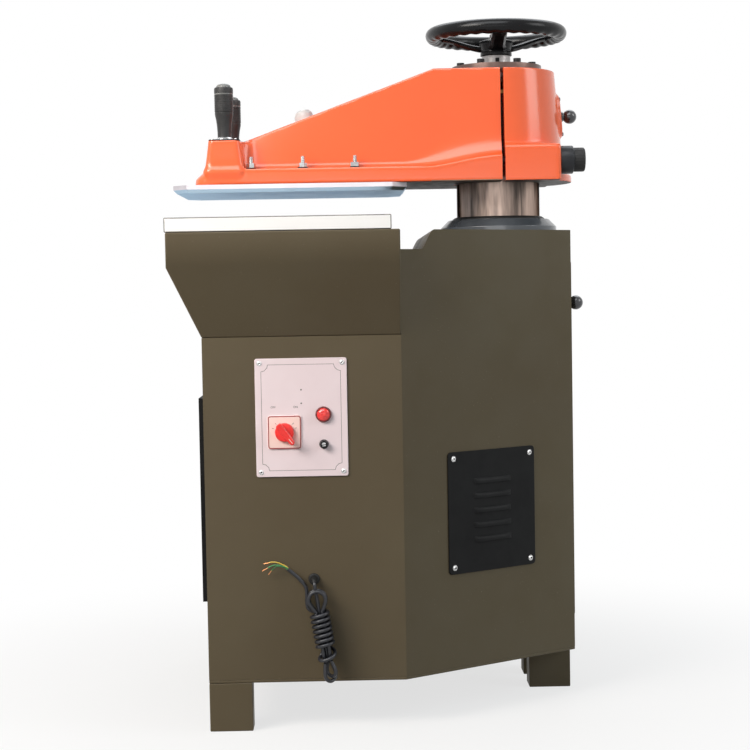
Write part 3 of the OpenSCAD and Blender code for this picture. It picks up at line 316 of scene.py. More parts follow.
# The top flange's reddish tint is a painted reflection of the orange arm.
FLANGE_PAINTED_REFLECTION = surface("flange_steel_painted_reflection", (0.10, 0.066, 0.056), (0.17, 0.115, 0.10), (0.28, 0.40), 200, 0.03,
                       20.0, metallic=1.0)
BOARD = surface("board_plastic", (0.89, 0.905, 0.93), (0.92, 0.935, 0.955), (0.42, 0.58), 350, 0.08, 3.0,
                specular=0.3, specks=(160, 0.74, (0.84, 0.84, 0.835)))
# The board's rounded edges: dark grey as painted shade.
BOARD_EDGE_SHADE = surface("board_edge_painted_shade", (0.085, 0.080, 0.075), (0.16, 0.15, 0.14), (0.45, 0.60), 350, 0.08, 9.0,
                     specular=0.3)
PANEL = surface("panel_grey", (0.76, 0.65, 0.70), (0.82, 0.72, 0.775), (0.34, 0.44), 500, 0.02, 4.0,
                specular=0.3)
CREAM = surface("switch_cream", (0.89, 0.675, 0.64), (0.93, 0.725, 0.69), (0.28, 0.38), 400, 0.02, 20.0,
                specular=0.3)
RED = surface("red_plastic", (0.78, 0.026, 0.022), (0.86, 0.040, 0.034), (0.28, 0.38), 500, 0.03, 30.0,
              coat=0.2, specular=0.35)
DARK_RED = surface("dark_red_plastic", (0.10, 0.006, 0.006), (0.16, 0.012, 0.010), (0.28, 0.36), 500, 0.03,
                   30.0, coat=0.2)
RED_PRINT = surface("red_print", (0.25, 0.030, 0.034), (0.31, 0.040, 0.044), (0.35, 0.45), 600, 0.01, 30.0)
GREY_PRINT = surface("grey_print", (0.055, 0.052, 0.056), (0.090, 0.086, 0.090), (0.40, 0.50), 600, 0.01,
                     30.0)
BAKELITE = surface("black_moulding", (0.003, 0.0032, 0.004), (0.006, 0.0065, 0.0075), (0.10, 0.18), 250, 0.04,
                   12.0, specular=0.2)
WHEEL_BLACK = surface("wheel_moulding", (0.003, 0.0032, 0.004), (0.006, 0.0065, 0.0075), (0.19, 0.265), 250,
                      0.04, 12.0, specular=0.2)
KNOB_BLACK = surface("knob_moulding", (0.011, 0.012, 0.015), (0.021, 0.023, 0.028), (0.30, 0.45), 400, 0.06,
                     18.0, specular=0.28)
BALL_BLACK = surface("ball_moulding", (0.016, 0.018, 0.022), (0.030, 0.033, 0.040), (0.18, 0.265), 400, 0.05,
                     18.0, coat=0.5, specular=0.5)
GRIP_BLACK = surface("grip_moulding", (0.016, 0.016, 0.0165), (0.030, 0.030, 0.031), (0.38, 0.52), 900, 0.10,
                     25.0, specular=0.35)
BUTTON_GREY = surface("button_grey", (0.13, 0.135, 0.135), (0.19, 0.195, 0.195), (0.30, 0.42), 700, 0.05,
                      40.0)
RUBBER = surface("black_rubber", (0.007, 0.007, 0.007), (0.014, 0.014, 0.0145), (0.45, 0.62), 600, 0.08, 20.0,
                 specular=0.3)
JACKET = surface("cord_jacket", (0.008, 0.009, 0.013), (0.016, 0.017, 0.023), (0.28, 0.42), 500, 0.06, 40.0,
                 coat=0.15, specular=0.4)
GREEN = surface("core_green", (0.03, 0.20, 0.06), (0.05, 0.28, 0.09), (0.30, 0.42), 900, 0.03, 60.0)
YELLOW = surface("core_yellow", (0.62, 0.42, 0.05), (0.72, 0.52, 0.08), (0.30, 0.42), 900, 0.03, 60.0)
COPPER = surface("copper_strands", (0.60, 0.24, 0.10), (0.78, 0.38, 0.18), (0.28, 0.38), 1500, 0.10, 80.0,
                 metallic=1.0, stretch=(6.0, 1.0, 1.0))
CAST = surface("cast_grey", (0.10, 0.115, 0.115), (0.16, 0.175, 0.175), (0.45, 0.62), 350, 0.20, 9.0)
# Black: painted shade in sockets, holes and openings, and also the grips' black gasket plates.
SHADE_AND_GASKET = surface("recess_shade_and_gasket", (0.003, 0.003, 0.003), (0.006, 0.006, 0.006), (0.5, 0.7), 300, 0.05, 9.0,
                specular=0.2)
# The slope plug's pale colour is a painted highlight.
PLUG_HIGHLIGHT = surface("plug_painted_highlight", (0.56, 0.57, 0.58), (0.66, 0.67, 0.68), (0.28, 0.38), 500, 0.03, 20.0)


def lens_material():
    """The lamp's mottled red lens, with a weak glow of its own."""
    m, t, s = node_material("lamp_lens")
    coords = t.nodes.new("ShaderNodeTexCoord").outputs["Object"]
    mottle = noise(t, coords, 260, 2.0)
    clouds = spread(t, mottle, *CLOUD_RANGE, 0.0, 1.0)
    colour = blend_colour(t, clouds, (0.60, 0.010, 0.010), (0.80, 0.040, 0.030))
    t.links.new(colour, s.inputs["Base Color"])
    t.links.new(spread(t, mottle, *CLOUD_RANGE, 0.08, 0.18), s.inputs["Roughness"])
    put(s, {"Coat Weight": 0.4, "Emission Color": (1.0, 0.03, 0.02, 1.0), "Emission Strength": 0.12})
    return m


LENS = lens_material()


# Building meshes
WELD = 2e-6
FLAT_WITHIN = 0.3
NEAR_AXIS = 1e-6


class Build:
    """Gathers faces from several forms, then makes one piece of them."""

    def __init__(self):
        self.verts, self.faces, self.mats = [], [], []

    def add(self, verts, faces, place=None, mat=0):
        base = len(self.verts)
        for v in verts:
            self.verts.append(place @ Vector(v) if place is not None else Vector(v))
        for f in faces:
            self.faces.append([base + i for i in f])
            self.mats.append(mat)
        return self

    def lathe(self, profile, n=64, place=None, mat=0):
        """Turns a profile of (radius, height) in mm about Z."""
        verts, rings, faces = [], [], []
        for r, z in profile:
            count = n if r > NEAR_AXIS else 1
            rings.append(list(range(len(verts), len(verts) + count)))
            verts += [spot(r * cosd(360 * i / n), r * sind(360 * i / n), z) for i in range(count)]
        for a, b in zip(rings, rings[1:]):
            for i in range(n):
                j = (i + 1) % n
                corner = [a[i % len(a)], a[j % len(a)], b[j % len(b)], b[i % len(b)]]
                corner = list(dict.fromkeys(corner))
                if len(corner) > 2:
                    faces.append(corner)
        return self.add(verts, faces, place, mat)

    def loft(self, sections, place=None, mat=0, caps=True):
        """Joins closed sections with as many points each."""
        n = len(sections[0])
        verts = [p for s in sections for p in s]
        faces = []
        for k in range(len(sections) - 1):
            for i in range(n):
                j = (i + 1) % n
                faces.append([k * n + i, k * n + j, (k + 1) * n + j, (k + 1) * n + i])
        if caps:
            faces.append(list(range(n))[::-1])
            faces.append([(len(sections) - 1) * n + i for i in range(n)])
        return self.add(verts, faces, place, mat)

    def prism(self, outline, low, high, place=None, mat=0, chamfer=0.0):
        """A flat outline in mm raised from low to high, with a chamfer at the top."""
        rows = [(outline, low), (outline, high - chamfer)]
        if chamfer > 0:
            rows.append((inset(outline, chamfer), high))
        return self.loft([[spot(x, y, z) for x, y in line] for line, z in rows], place, mat)

    def tube(self, points, radii, sides=12, place=None, mat=0):
        """A round bar along points in metres, with one radius in mm or one for each point."""
        sections = []
        normal = None
        for i, p in enumerate(points):
            r = radii[i] if isinstance(radii, list) else radii
            way = (points[min(i + 1, len(points) - 1)] - points[max(i - 1, 0)]).normalized()
            if normal is None:
                normal = way.orthogonal().normalized()
            normal = (normal - way * normal.dot(way)).normalized()
            other = way.cross(normal)
            sections.append([p + (normal * cosd(360 * k / sides) + other * sind(360 * k / sides)) * r * MM
                             for k in range(sides)])
        return self.loft(sections, place, mat)

    def ribbon(self, points, width, z, place, mat, closed=True):
        """A flat printed line along points in mm."""
        n = len(points)
        verts, faces = [], []
        for i, p in enumerate(points):
            a = Vector(points[i - 1] if i or closed else p)
            c = Vector(points[(i + 1) % n] if i < n - 1 or closed else p)
            p = Vector(p)
            way = (p - a).normalized() + (c - p).normalized()
            side = Vector((-way.y, way.x)).normalized() * width / 2
            verts += [spot(*(p + side), z), spot(*(p - side), z)]
        for i in range(n if closed else n - 1):
            j = (i + 1) % n
            faces.append([2 * i, 2 * j, 2 * j + 1, 2 * i + 1])
        return self.add(verts, faces, place, mat)

    def mesh(self, name):
        mesh = bpy.data.meshes.new(name)
        mesh.from_pydata([tuple(v) for v in self.verts], [], self.faces)
        mesh.polygons.foreach_set("material_index", self.mats)
        b = bmesh.new()
        b.from_mesh(mesh)
        bmesh.ops.recalc_face_normals(b, faces=b.faces)
        b.to_mesh(mesh)
        b.free()
        return mesh

    def piece(self, name, materials, body, nodes=(), slot=None, sharp=35):
        mesh = self.mesh(name)
        for m in materials:
            mesh.materials.append(m)
        mesh.set_sharp_from_angle(angle=math.radians(sharp))
        return placed(mesh, name, body, nodes)


def placed(mesh, name, body, nodes=()):
    """Makes a mesh a piece of the object: smooth, on its body and in the place of its nodes."""
    mesh.polygons.foreach_set("use_smooth", [True] * len(mesh.polygons))
    mesh.update()
    ob = linked(name, mesh)
    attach(ob, body)
    if nodes:
        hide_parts(*nodes)
    return ob


def applied(ob):
    """The mesh of an object with its modifiers. The object itself is removed."""
    mesh = bpy.data.meshes.new_from_object(ob.evaluated_get(bpy.context.evaluated_depsgraph_get()))
    bpy.data.objects.remove(ob)
    return mesh


def dress(node, width, material, segments=2, sharp=30):
    """A copy of a CAD node with clean flat faces and rounded edges, in the node's place."""
    mesh = frame["nodes"][node].data.copy()
    b = bmesh.new()
    b.from_mesh(mesh)
    bmesh.ops.remove_doubles(b, verts=b.verts, dist=WELD)
    bmesh.ops.dissolve_limit(b, angle_limit=math.radians(FLAT_WITHIN), verts=b.verts, edges=b.edges)
    b.to_mesh(mesh)
    b.free()
    for name in ("custom_normal", "sharp_edge", "sharp_face"):
        if name in mesh.attributes:
            mesh.attributes.remove(mesh.attributes[name])
    mesh.materials.clear()
    mesh.materials.append(material)
    mesh.polygons.foreach_set("material_index", [0] * len(mesh.polygons))
    ob = placed(mesh, node + "_dressed", BODY[node], (node,))
    bevel = ob.modifiers.new("edges", "BEVEL")
    bevel.width = width * MM
    bevel.segments = segments
    bevel.limit_method = "ANGLE"
    bevel.angle_limit = math.radians(sharp)
    normals = ob.modifiers.new("normals", "WEIGHTED_NORMAL")
    normals.weight = 100
    normals.keep_sharp = False
    return ob


def dress_platen():
    """Pale milled edges, a bluish face below with its bevels whose colour is a painted reflection, and a
    darker, rougher face above whose darkness is painted shade.
    """
    ob = dress("platen", 1.2, ALUMINIUM)
    ob.data.materials.append(UNDERSIDE_REFLECTION)
    ob.data.materials.append(PLATEN_TOP_SHADE)
    index = [1 if p.normal.z < -0.1 else 2 if p.normal.z > 0.9 else 0 for p in ob.data.polygons]
    ob.data.polygons.foreach_set("material_index", index)


def dress_board():
    """A white board whose rounded edges are dark grey as painted shade."""
    ob = dress("cutting_board", 1.8, BOARD)
    ob.data.materials.append(BOARD_EDGE_SHADE)
    ob.modifiers["edges"].material = 1


def paint(node, material):
    """A CAD node whose shape is right keeps it, and gets a better material."""
    ob = frame["nodes"][node]
    for s in ob.material_slots:
        s.material = material


# Mains cord: the route of the source's hank, in millimetres in the hank's own frame
CORD_D = 7.2
NEAR_Y = box_mm("control_plate")[1].y
GLAND = middle("cord_gland")
GLAND_OUT = NEAR_Y - box_mm("cord_gland")[0].y
CORD_BEND = 12.0
HANK_TILT = 9.0
HANK_AXIS = GLAND_OUT + CORD_D + CORD_BEND
RUN_R = CORD_D + 0.6
RUN_ANGLE = 39.0
EYE_R = 16.5
EYE_Q = CORD_D + 1.2
EYE_W = 36.0
WAIST = 64.0
FIRST_EYE = (11.0, 153.0, 175.0)
SECOND_EYE = (12.5, 155.0, 183.0)
WRAP_R = RUN_R + CORD_D + 1.1
WRAP_PITCH = CORD_D + 2.4
WRAP_LOW = 151.0
WRAP_SLACK = 18.0
SLACK_TURN = 0.75
LEAVE_W = 131.0
LEAVE_SWEEP = 110.0
LEAVE_FULL = 0.8
TAIL = ((-20.5, -17, 52), (-21, -17.5, 40), (-18, -17.5, 24), (-18.5, -17, 9), (-28, -16, -8),
        (-40, -14.5, -23), (-46, -14, -30))
CORE_ENDS = ((-48, 3, -5), (-43, -4, -17), (-38, -3, 5))
CORE_D = 2.2
CORE_RING = 1.7
CORE_SLOTS = (0, 1, 0)
STRAND_R = 0.42
STRAND_TURN = 80
BARE_STEPS = 5
START_DOWN = (40, 90)
RUN_MID = 105.0
LAST_MID = 97.0
WHOLE_WRAPS = 7
NECK_STEPS = 6
LEAVE_STEPS = 12
STEPS_A_TURN = 24
SLEEVE_L = 24.0
SLEEVE_R = (7.4, 4.5)


def on_run(a, w):
    return Vector((RUN_R * cosd(a), RUN_R * sind(a), w))


def top_neck(side, turn):
    p, q = RUN_R * cosd(RUN_ANGLE), RUN_R * sind(RUN_ANGLE)
    return [Vector((turn * mix(p, EYE_R, smooth(t)), side * mix(q, EYE_Q, smooth(t)), mix(WAIST, EYE_W, t)))
            for t in even(NECK_STEPS)]


def top_eye(side):
    arc = [Vector((EYE_R * cosd(15 * i), side * EYE_Q, EYE_W - EYE_R * sind(15 * i))) for i in range(1, 12)]
    return top_neck(side, 1) + arc + top_neck(side, -1)[::-1]


def low_eye(angle, start, end, size):
    radius, first_w, last_w = size
    mid = (start + end) / 2
    way = -1 if start < end else 1

    def at(s, w):
        return Vector((s * cosd(angle), s * sind(angle), w))

    def neck(a, b):
        return [at(mix(a, b, smooth(t)), mix(first_w, last_w, t)) for t in even(NECK_STEPS)]

    arc = [at(mid + way * radius * cosd(15 * i), last_w + radius * sind(15 * i)) for i in range(1, 12)]
    return neck(start, mid + way * radius) + arc + neck(end, mid - way * radius)[::-1]


def hank_route():
    bend = [Vector((0, CORD_BEND * (sind(22.5 * i) - 1), CORD_BEND * (1 - cosd(22.5 * i)))) for i in range(5)]
    start = [Vector((0, GLAND_OUT - HANK_AXIS, 0))] + bend + [Vector((0, 0, w)) for w in START_DOWN]
    run_out = 180 + RUN_ANGLE
    wrap_start = run_out - LEAVE_SWEEP
    turns = WHOLE_WRAPS + (wrap_start + 90) / 360
    leave = []
    for t in even(LEAVE_STEPS)[:-1]:
        r = mix(RUN_R, WRAP_R, smooth(t / LEAVE_FULL))
        a = run_out - LEAVE_SWEEP * t * t
        leave.append(Vector((r * cosd(a), r * sind(a), mix(LEAVE_W, WRAP_LOW, t * (2 - t)))))
    steps = round(STEPS_A_TURN * turns)
    wraps = []
    for i in range(steps + 1):
        n = turns * i / steps
        a = wrap_start - 360 * n
        w = WRAP_LOW - WRAP_PITCH * n - WRAP_SLACK * smooth(n / SLACK_TURN)
        wraps.append(Vector((WRAP_R * cosd(a), WRAP_R * sind(a), w)))
    way = (wraps[-1] - wraps[-2]).normalized()
    end = wraps[-1] + CORD_D * way
    hank = (start + low_eye(RUN_ANGLE, 0, RUN_R, FIRST_EYE) + [on_run(RUN_ANGLE, RUN_MID)] + top_eye(1)
            + [on_run(180 - RUN_ANGLE, RUN_MID)] + low_eye(180 - RUN_ANGLE, RUN_R, -RUN_R, SECOND_EYE)
            + [on_run(-RUN_ANGLE, RUN_MID)] + top_eye(-1) + [on_run(run_out, LAST_MID)] + leave + wraps
            + [end])
    return hank, [end, end + CORD_D * way] + [Vector(p) for p in TAIL]


def from_hank(p):
    return spot(GLAND.x + p[0] * cosd(HANK_TILT) + p[2] * sind(HANK_TILT), NEAR_Y - HANK_AXIS - p[1],
                GLAND.z + p[0] * sind(HANK_TILT) - p[2] * cosd(HANK_TILT))


def make_cores(tail_line):
    """Three cores out of the jacket's end, each with a bare copper tip."""
    end = tail_line[-1]
    way = (end - tail_line[-2]).normalized()
    side = way.cross(Vector((0, 0, 1))).normalized()
    b = Build()
    for i, reach in enumerate(CORE_ENDS):
        start = end + CORE_RING * (cosd(120 * i) * side + sind(120 * i) * way.cross(side))
        line = catmull([start - 1.5 * way, start + 6 * way, start + 14 * way + 0.3 * Vector(reach),
                        end + Vector(reach)], 8)
        line = [from_hank(p) for p in line]
        bare = len(line) - BARE_STEPS
        b.tube(line[:bare + 1], CORE_D / 2, 12, None, CORE_SLOTS[i])
        for turn in (0, 120, 240):
            strand = []
            for k, p in enumerate(line[bare:]):
                a = turn + STRAND_TURN * k
                strand.append(p + STRAND_R * spot(cosd(a), 0.6 * sind(a), sind(a)))
            b.tube(strand, STRAND_R, 8, None, 2)
    return b.piece("cord_cores_bare", [GREEN, YELLOW, COPPER], "base", ("cord_cores",), "cord_core")


def make_cord():
    hank, tail = hank_route()
    tail_line = catmull(tail, 6)
    line = [from_hank(p) for p in catmull(hank, 3)[:-1] + tail_line]
    data = bpy.data.curves.new("mains_cord", "CURVE")
    data.dimensions = "3D"
    data.bevel_depth = CORD_D / 2 * MM
    data.bevel_resolution = 3
    data.use_fill_caps = True
    spline = data.splines.new("POLY")
    spline.points.add(len(line) - 1)
    for point, p in zip(spline.points, line):
        point.co = (*p, 1.0)
    spline.use_smooth = True
    data.materials.append(JACKET)
    cord = linked("mains_cord", data)
    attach(cord, "base")
    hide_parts("cord_hank", "cord_tail")
    make_cores(tail_line)
    return line


def make_gland(line):
    """A flanged gland whose ribbed sleeve tapers along the cord's first bend."""
    b = Build()
    at = near_frame(GLAND.x, GLAND.z)
    flange = [(0, -20), (11, -20), (11, -2), (8, -2), (8, 0), (11, 0), (11, 2.6), (10.2, 4.2), (8.2, 4.6),
              (6.0, 5.0), (0, 5.0)]
    b.lathe(fillet(flange, 0.5, 2), 48, at, 0)
    way = [at @ spot(0, 0, z) for z in (3.0, 5.0, 7.0)] + line[1:12]
    sleeve, radii = [way[0]], [SLEEVE_R[0]]
    run = 0.0
    for p, q in zip(way, way[1:]):
        run += (q - p).length / MM
        if run > SLEEVE_L:
            break
        sleeve.append(q)
        radii.append(mix(*SLEEVE_R, run / SLEEVE_L) + (0.35 if len(radii) % 2 else -0.25))
    b.tube(sleeve, radii, 20, None, 0)
    b.piece("cord_gland_sleeve", [RUBBER], "base", ("cord_gland",), "rubber", sharp=50)


# Frames of the faces: X along the face, Y up, Z out of it
AXIS = middle("column_tube")
CABINET_LOW, CABINET_HIGH = box_mm("cabinet_shell")
TABLE_REAR = box_mm("table_skirt")[1].x
REAR_HALF = 155.0
TAPER = math.degrees(math.atan2(-NEAR_Y - REAR_HALF, CABINET_HIGH.x - TABLE_REAR))
TAPER_SIDE = (-NEAR_Y - REAR_HALF) / sind(TAPER)
VENT_Z = middle("vent_covers").z
COVER = middle("front_cover")


def near_frame(x, z):
    return moved(x, NEAR_Y, z) @ turned(90, "X")


def taper_frame(side):
    at = moved(TABLE_REAR, NEAR_Y, VENT_Z) @ turned(TAPER, "Z")
    at = at @ moved(TAPER_SIDE / 2, 0, 0) @ turned(90, "X")
    return at if side < 0 else Matrix.Scale(-1, 4, (0, 1, 0)) @ at


def front_frame():
    return moved(CABINET_LOW.x, COVER.y, COVER.z) @ turned(-90, "Z") @ turned(90, "X")


def along_x(y, z):
    """Z along +X, from the column's axis."""
    return moved(AXIS.x, y, z) @ turned(90, "Y")


cord_line = make_cord()
make_gland(cord_line)


# Handwheel and lifting screw
WHEEL_LOW, WHEEL_HIGH = box_mm("handwheel")
RIM_D = 30.5
RIM_R = (WHEEL_HIGH.x - WHEEL_LOW.x - RIM_D) / 2 + 0.5
RIM_Z = WHEEL_HIGH.z - 13.0
RIM_BUMPS = 32
RIM_STEPS = 256
RIM_SIDES = 24
HUB_LOW = WHEEL_LOW.z
SPOKE_ROOT_R = 26
SPOKE_ROOT_Z = HUB_LOW + 15
SPOKE_TIP_IN = 5
SPOKE_HALF = 15.5
SPOKE_CHAMFER = 5.5
SPOKE_STEPS = 24
SPOKE_ANGLES = (-90, 30, 150)
ON_AXIS = moved(AXIS.x, AXIS.y, 0)
SCREW_R = 18.0
SCREW_ROOT_R = 16.6
SCREW_LEAD = 6.0
THREAD_EDGES = 58
TOMMY_W = 8.4
TOMMY_DOWN = 10.5


def rim_sections():
    """The rim's rings, with finger bumps on the lower inner side."""
    out = []
    for i in range(RIM_STEPS):
        a = 360 * i / RIM_STEPS
        ring = []
        for k in range(RIM_SIDES):
            s = 360 * k / RIM_SIDES
            under = smooth((-0.9 * sind(s) - 0.35 * cosd(s) - 0.1) / 0.8)
            r = RIM_D / 2 + under * (0.9 * cosd(RIM_BUMPS * a) - 0.4)
            d = RIM_R + r * cosd(s)
            ring.append(spot(d * cosd(a), d * sind(a), RIM_Z + r * sind(s)))
        out.append(ring)
    return out + out[:1]


def spoke_sections():
    """A dished spoke with chamfered lower edges, wider at the hub and the rim."""
    out = []
    rise = RIM_Z - 1 - SPOKE_ROOT_Z
    run = RIM_R - SPOKE_TIP_IN - SPOKE_ROOT_R
    for t in even(SPOKE_STEPS):
        half = SPOKE_HALF + 5.5 * smooth((t - 0.72) / 0.28) + 4.0 * smooth((0.22 - t) / 0.22)
        thick = mix(6.2, 4.8, smooth(t))
        lean = math.atan2(rise * (0.45 + 3.3 * t * (1 - t)), run)
        outline = [(-half, 0.8 * thick), (2.2 - half, thick), (half - 2.2, thick), (half, 0.8 * thick),
                   (half, -0.1 * thick), (half - SPOKE_CHAMFER, -thick), (SPOKE_CHAMFER - half, -thick),
                   (-half, -0.1 * thick)]
        r = SPOKE_ROOT_R + run * t
        z = SPOKE_ROOT_Z + rise * (0.55 * smooth(t) + 0.45 * t)
        out.append([spot(r - y * math.sin(lean), x, z + y * math.cos(lean)) for x, y in outline])
    return out


def make_handwheel():
    b = Build()
    b.loft(rim_sections(), ON_AXIS, 0, caps=False)
    for angle in SPOKE_ANGLES:
        b.loft(spoke_sections(), ON_AXIS @ turned(angle, "Z"))
    hub = fillet([(12.2, 0), (33.5, 0), (33, 9), (31.5, 12), (35.5, 25), (35.5, 31), (27, 33.5), (22, 31),
                  (12.2, 31)], 1.4, 3)
    b.lathe([(r, HUB_LOW + z) for r, z in hub + hub[:1]], 72, ON_AXIS)
    b.piece("handwheel_moulding", [WHEEL_BLACK], "handwheel", ("handwheel",), "black_plastic", sharp=40)


def make_screw():
    """The threaded screw, its collar with tommy-bar holes painted on as dark patches of shade, and the
    wheel's washer and nut.
    """
    low = box_mm("lift_screw")[0].z
    top = box_mm("top_flange")[0].z
    thread = [(SCREW_R if k % 2 else SCREW_ROOT_R, low + 2 + SCREW_LEAD / 2 * k) for k in range(THREAD_EDGES)]
    collar = [(18, top - 10), (35, top - 10), (35, top - 0.4), (20.9, top - 0.4), (20.9, top + 14.2),
              (29.2, top + 14.4), (30, top + 15.2), (30, HUB_LOW - 0.9), (29.2, HUB_LOW - 0.1),
              (12, HUB_LOW - 0.1)]
    end = [(12, 34), (17.5, 34), (18, 34.4), (18, 36.2), (17.5, 36.6), (12, 36.6), (11.4, 48.5), (10, 50),
           (0, 50)]
    b = Build()
    b.lathe([(0, low), (16.5, low)] + thread + collar + [(r, HUB_LOW + z) for r, z in end], 72, ON_AXIS, 0)
    b.prism(hexagon(23), HUB_LOW + 36.6, HUB_LOW + 46, ON_AXIS, 0, 0.8)
    for angle in SPOKE_ANGLES:
        hole = moved(AXIS.x, AXIS.y, HUB_LOW - TOMMY_DOWN) @ turned(angle, "Z") @ turned(90, "Y")
        # Each tommy-bar hole is a thin dark patch on the collar: painted shade.
        b.prism(soft_square(TOMMY_W, TOMMY_W, 0.8, 2), 28, 30.25, hole, 1)
    b.piece("lifting_screw_collar", [SILVER, SHADE_AND_GASKET], "handwheel", ("lift_screw",), "machine_steel", sharp=30)


# Grips with a gasket plate, a bright ring, ribs, and a thumb button in each
GRIP_LOW = box_mm("grips")[0].z
GRIP_H = box_mm("grips")[1].z - GRIP_LOW
BUTTON_SEAT = 60


def add_grip(b, at):
    b.prism(soft_square(64, 51, 13, 8), 0.0, 1.8, at, 1, 0.5)
    b.lathe(fillet([(0, 1.8), (19.5, 1.8), (19.5, 3.6), (16.5, 4.4), (14.2, 7)], 0.6, 2), 64, at, 2)
    for x in (-23.5, 23.5):
        for y in (-17.5, 17.5):
            b.lathe([(0, 2.6), (1.3, 2.5), (2.4, 1.7), (2.7, 0.6), (2.7, 0)], 20, at @ moved(x, y, 1.8), 2)
    side = [(14.2, 4.6), (14, 9), (14.1, 18), (14.9, 30), (16.4, 42), (18.2, 51), (18.9, 55.5), (18.9, 57.2),
            (18.2, 57.6), (18.2, 58.6), (19, 59.2)]
    for k in range(8):
        z = 60.6 + 3.7 * k
        side += [(19.25, z), (19.25, z + 2.3), (18.75, z + 2.7), (18.75, z + 3.3)]
    side += [(19.3, 90.8), (19.3, 94.2)]
    b.lathe([(0, BUTTON_SEAT)] + side, 64, at, 0)
    b.lathe([(19.3, 94.2), (18.9, 94.6), (18.9, 96.2), (19.4, 96.6)], 64, at, 3)
    b.lathe([(19.4, 96.6), (19.4, GRIP_H - 3.5), (18.6, GRIP_H - 0.8), (17.4, GRIP_H), (15.05, GRIP_H),
             (15.05, GRIP_H - 6.5), (6.05, GRIP_H - 6.5), (6.05, BUTTON_SEAT), (0, BUTTON_SEAT)], 64, at, 0)


def make_grips():
    b = Build()
    for node in ("near_button", "far_button"):
        c = middle(node)
        at = moved(c.x, c.y, GRIP_LOW)
        add_grip(b, at)
        dome = Build()
        top = [(15, 107), (15, 110.4), (14.6, 111.6), (13.4, 113.4), (11.2, 115), (8, 116.2), (4, 116.9),
               (0, 117.1)]
        dome.lathe([(0, 66), (6, 66), (6, 106.8)] + top, 56, at)
        dome.piece(node + "_dome", [BUTTON_GREY], node, (node,), "button_grey", sharp=40)
    b.piece("grips_moulded", [GRIP_BLACK, SHADE_AND_GASKET, BRIGHT, BUTTON_GREY], "arm", ("grips",), "grip_black",
            sharp=28)


# Vent covers with pressed louvres
VENT_W = 220.0
VENT_H = 241.0
VENT_T = 3.0
SLOT_L = 92.0
SLOT_PITCH = 29.0
LOUVRE_OUT = 4.5
LOUVRE_STEPS = 28


def louvre_sections():
    """A hood that rises from the sheet, closed at its ends and open below."""
    out = []
    for t in even(LOUVRE_STEPS):
        x = mix(-SLOT_L / 2 - 1, SLOT_L / 2 + 1, t)
        lift = LOUVRE_OUT * math.sqrt(max(0.0, 1 - abs(2 * t - 1) ** 6)) + 0.05
        lip = 0.7 * min(1, lift)
        outline = [(7.6, 0), (6, 0.45 * lift), (3.6, 0.85 * lift), (0.6, lift), (-3, lift),
                   (-3.4, lift - lip), (0.6, 0.72 * lift), (3.2, 0.5 * lift), (4.6, 0)]
        out.append([spot(x, y, VENT_T + z) for y, z in outline])
    return out


def make_vents():
    b = Build()
    for side in (-1, 1):
        at = taper_frame(side)
        b.prism(soft_square(VENT_W, VENT_H, 9, 6), 0.0, VENT_T, at, 0, 0.7)
        for i in range(-2, 3):
            up = at @ moved(0, i * SLOT_PITCH, 0)
            # Under each louvre, a dark strip in its opening: painted shade.
            b.prism(soft_square(SLOT_L, 7, 3.2, 4), VENT_T - 0.8, VENT_T + 0.06, up, 1)
            b.loft(louvre_sections(), up, 0)
    b.piece("vent_louvres", [BLACK_SHEET, SHADE_AND_GASKET], "base", ("vent_covers",), "black_paint")


# Bright button-head screws with a hexagon socket, on the panels
PLATE = middle("control_plate")
PLATE_W = 176.0
PLATE_H = 227.0
PLATE_T = 3.0
PLATE_EDGE = 9
VENT_EDGE = 13
COVER_EDGE = (40, 10)
COVER_W = 580.0
COVER_H = 405.0
COVER_T = 18.0


def corner_places(at, w, h, edge, out, size):
    return [(at @ moved(x * (w / 2 - edge), y * (h / 2 - edge), out), size) for x in (-1, 1) for y in (-1, 1)]


def make_panel_screws():
    places = corner_places(near_frame(PLATE.x, PLATE.z), PLATE_W, PLATE_H, PLATE_EDGE, PLATE_T, 0.75)
    for side in (-1, 1):
        places += corner_places(taper_frame(side), VENT_W, VENT_H, VENT_EDGE, VENT_T, 0.85)
    front = front_frame()
    wide, high = COVER_W / 2 - COVER_EDGE[0], COVER_H / 2 - COVER_EDGE[1]
    for x in (-1, 0, 1):
        places += [(front @ moved(x * wide, y * high, COVER_T), 1.0) for y in (-1, 1)]
    b = Build()
    for at, size in places:
        at = at @ Matrix.Scale(size, 4)
        # The hexagon socket is a dark fill in the head: painted shade.
        b.prism(hexagon(4.2), 1.4, 1.7, at, 1)
        b.lathe([(2.3, 1.4), (2.3, 3.3), (2.7, 3.5), (3.9, 3.2), (4.9, 2.4), (5.5, 1.2), (5.5, 0)], 32, at, 0)
        b.lathe([(5.4, 0), (6.6, 0), (6.6, 0.5), (5.4, 0.7)], 32, at, 0)
    b.piece("panel_button_screws", [BRIGHT, SHADE_AND_GASKET], "base", ("panel_screws",), "plated_steel", sharp=40)


# Control plate with its printed border, and the fittings on it
SWITCH = middle("switch_plate")
LAMP = middle("lamp_body")
FUSE = middle("fuse_holder")
SWITCH_W = 64.0
SWITCH_T = 2.5
TICK_ANGLES = (20, 45, 135, 160)
TICK_ENDS = (21.5, 25)
KNOB_TURN = -52.0
KNOB_TOP = 25
BORDER_IN = 12
BORDER_NOTCH = 13.0
RIVET_UPS = (53.0, 27.0)
WORD_SIZE = 5.6
WORD_T = 0.04
WORD_UP = 48
OFF_X = -21
ON_X = 22
PRINT_OUT = 0.06


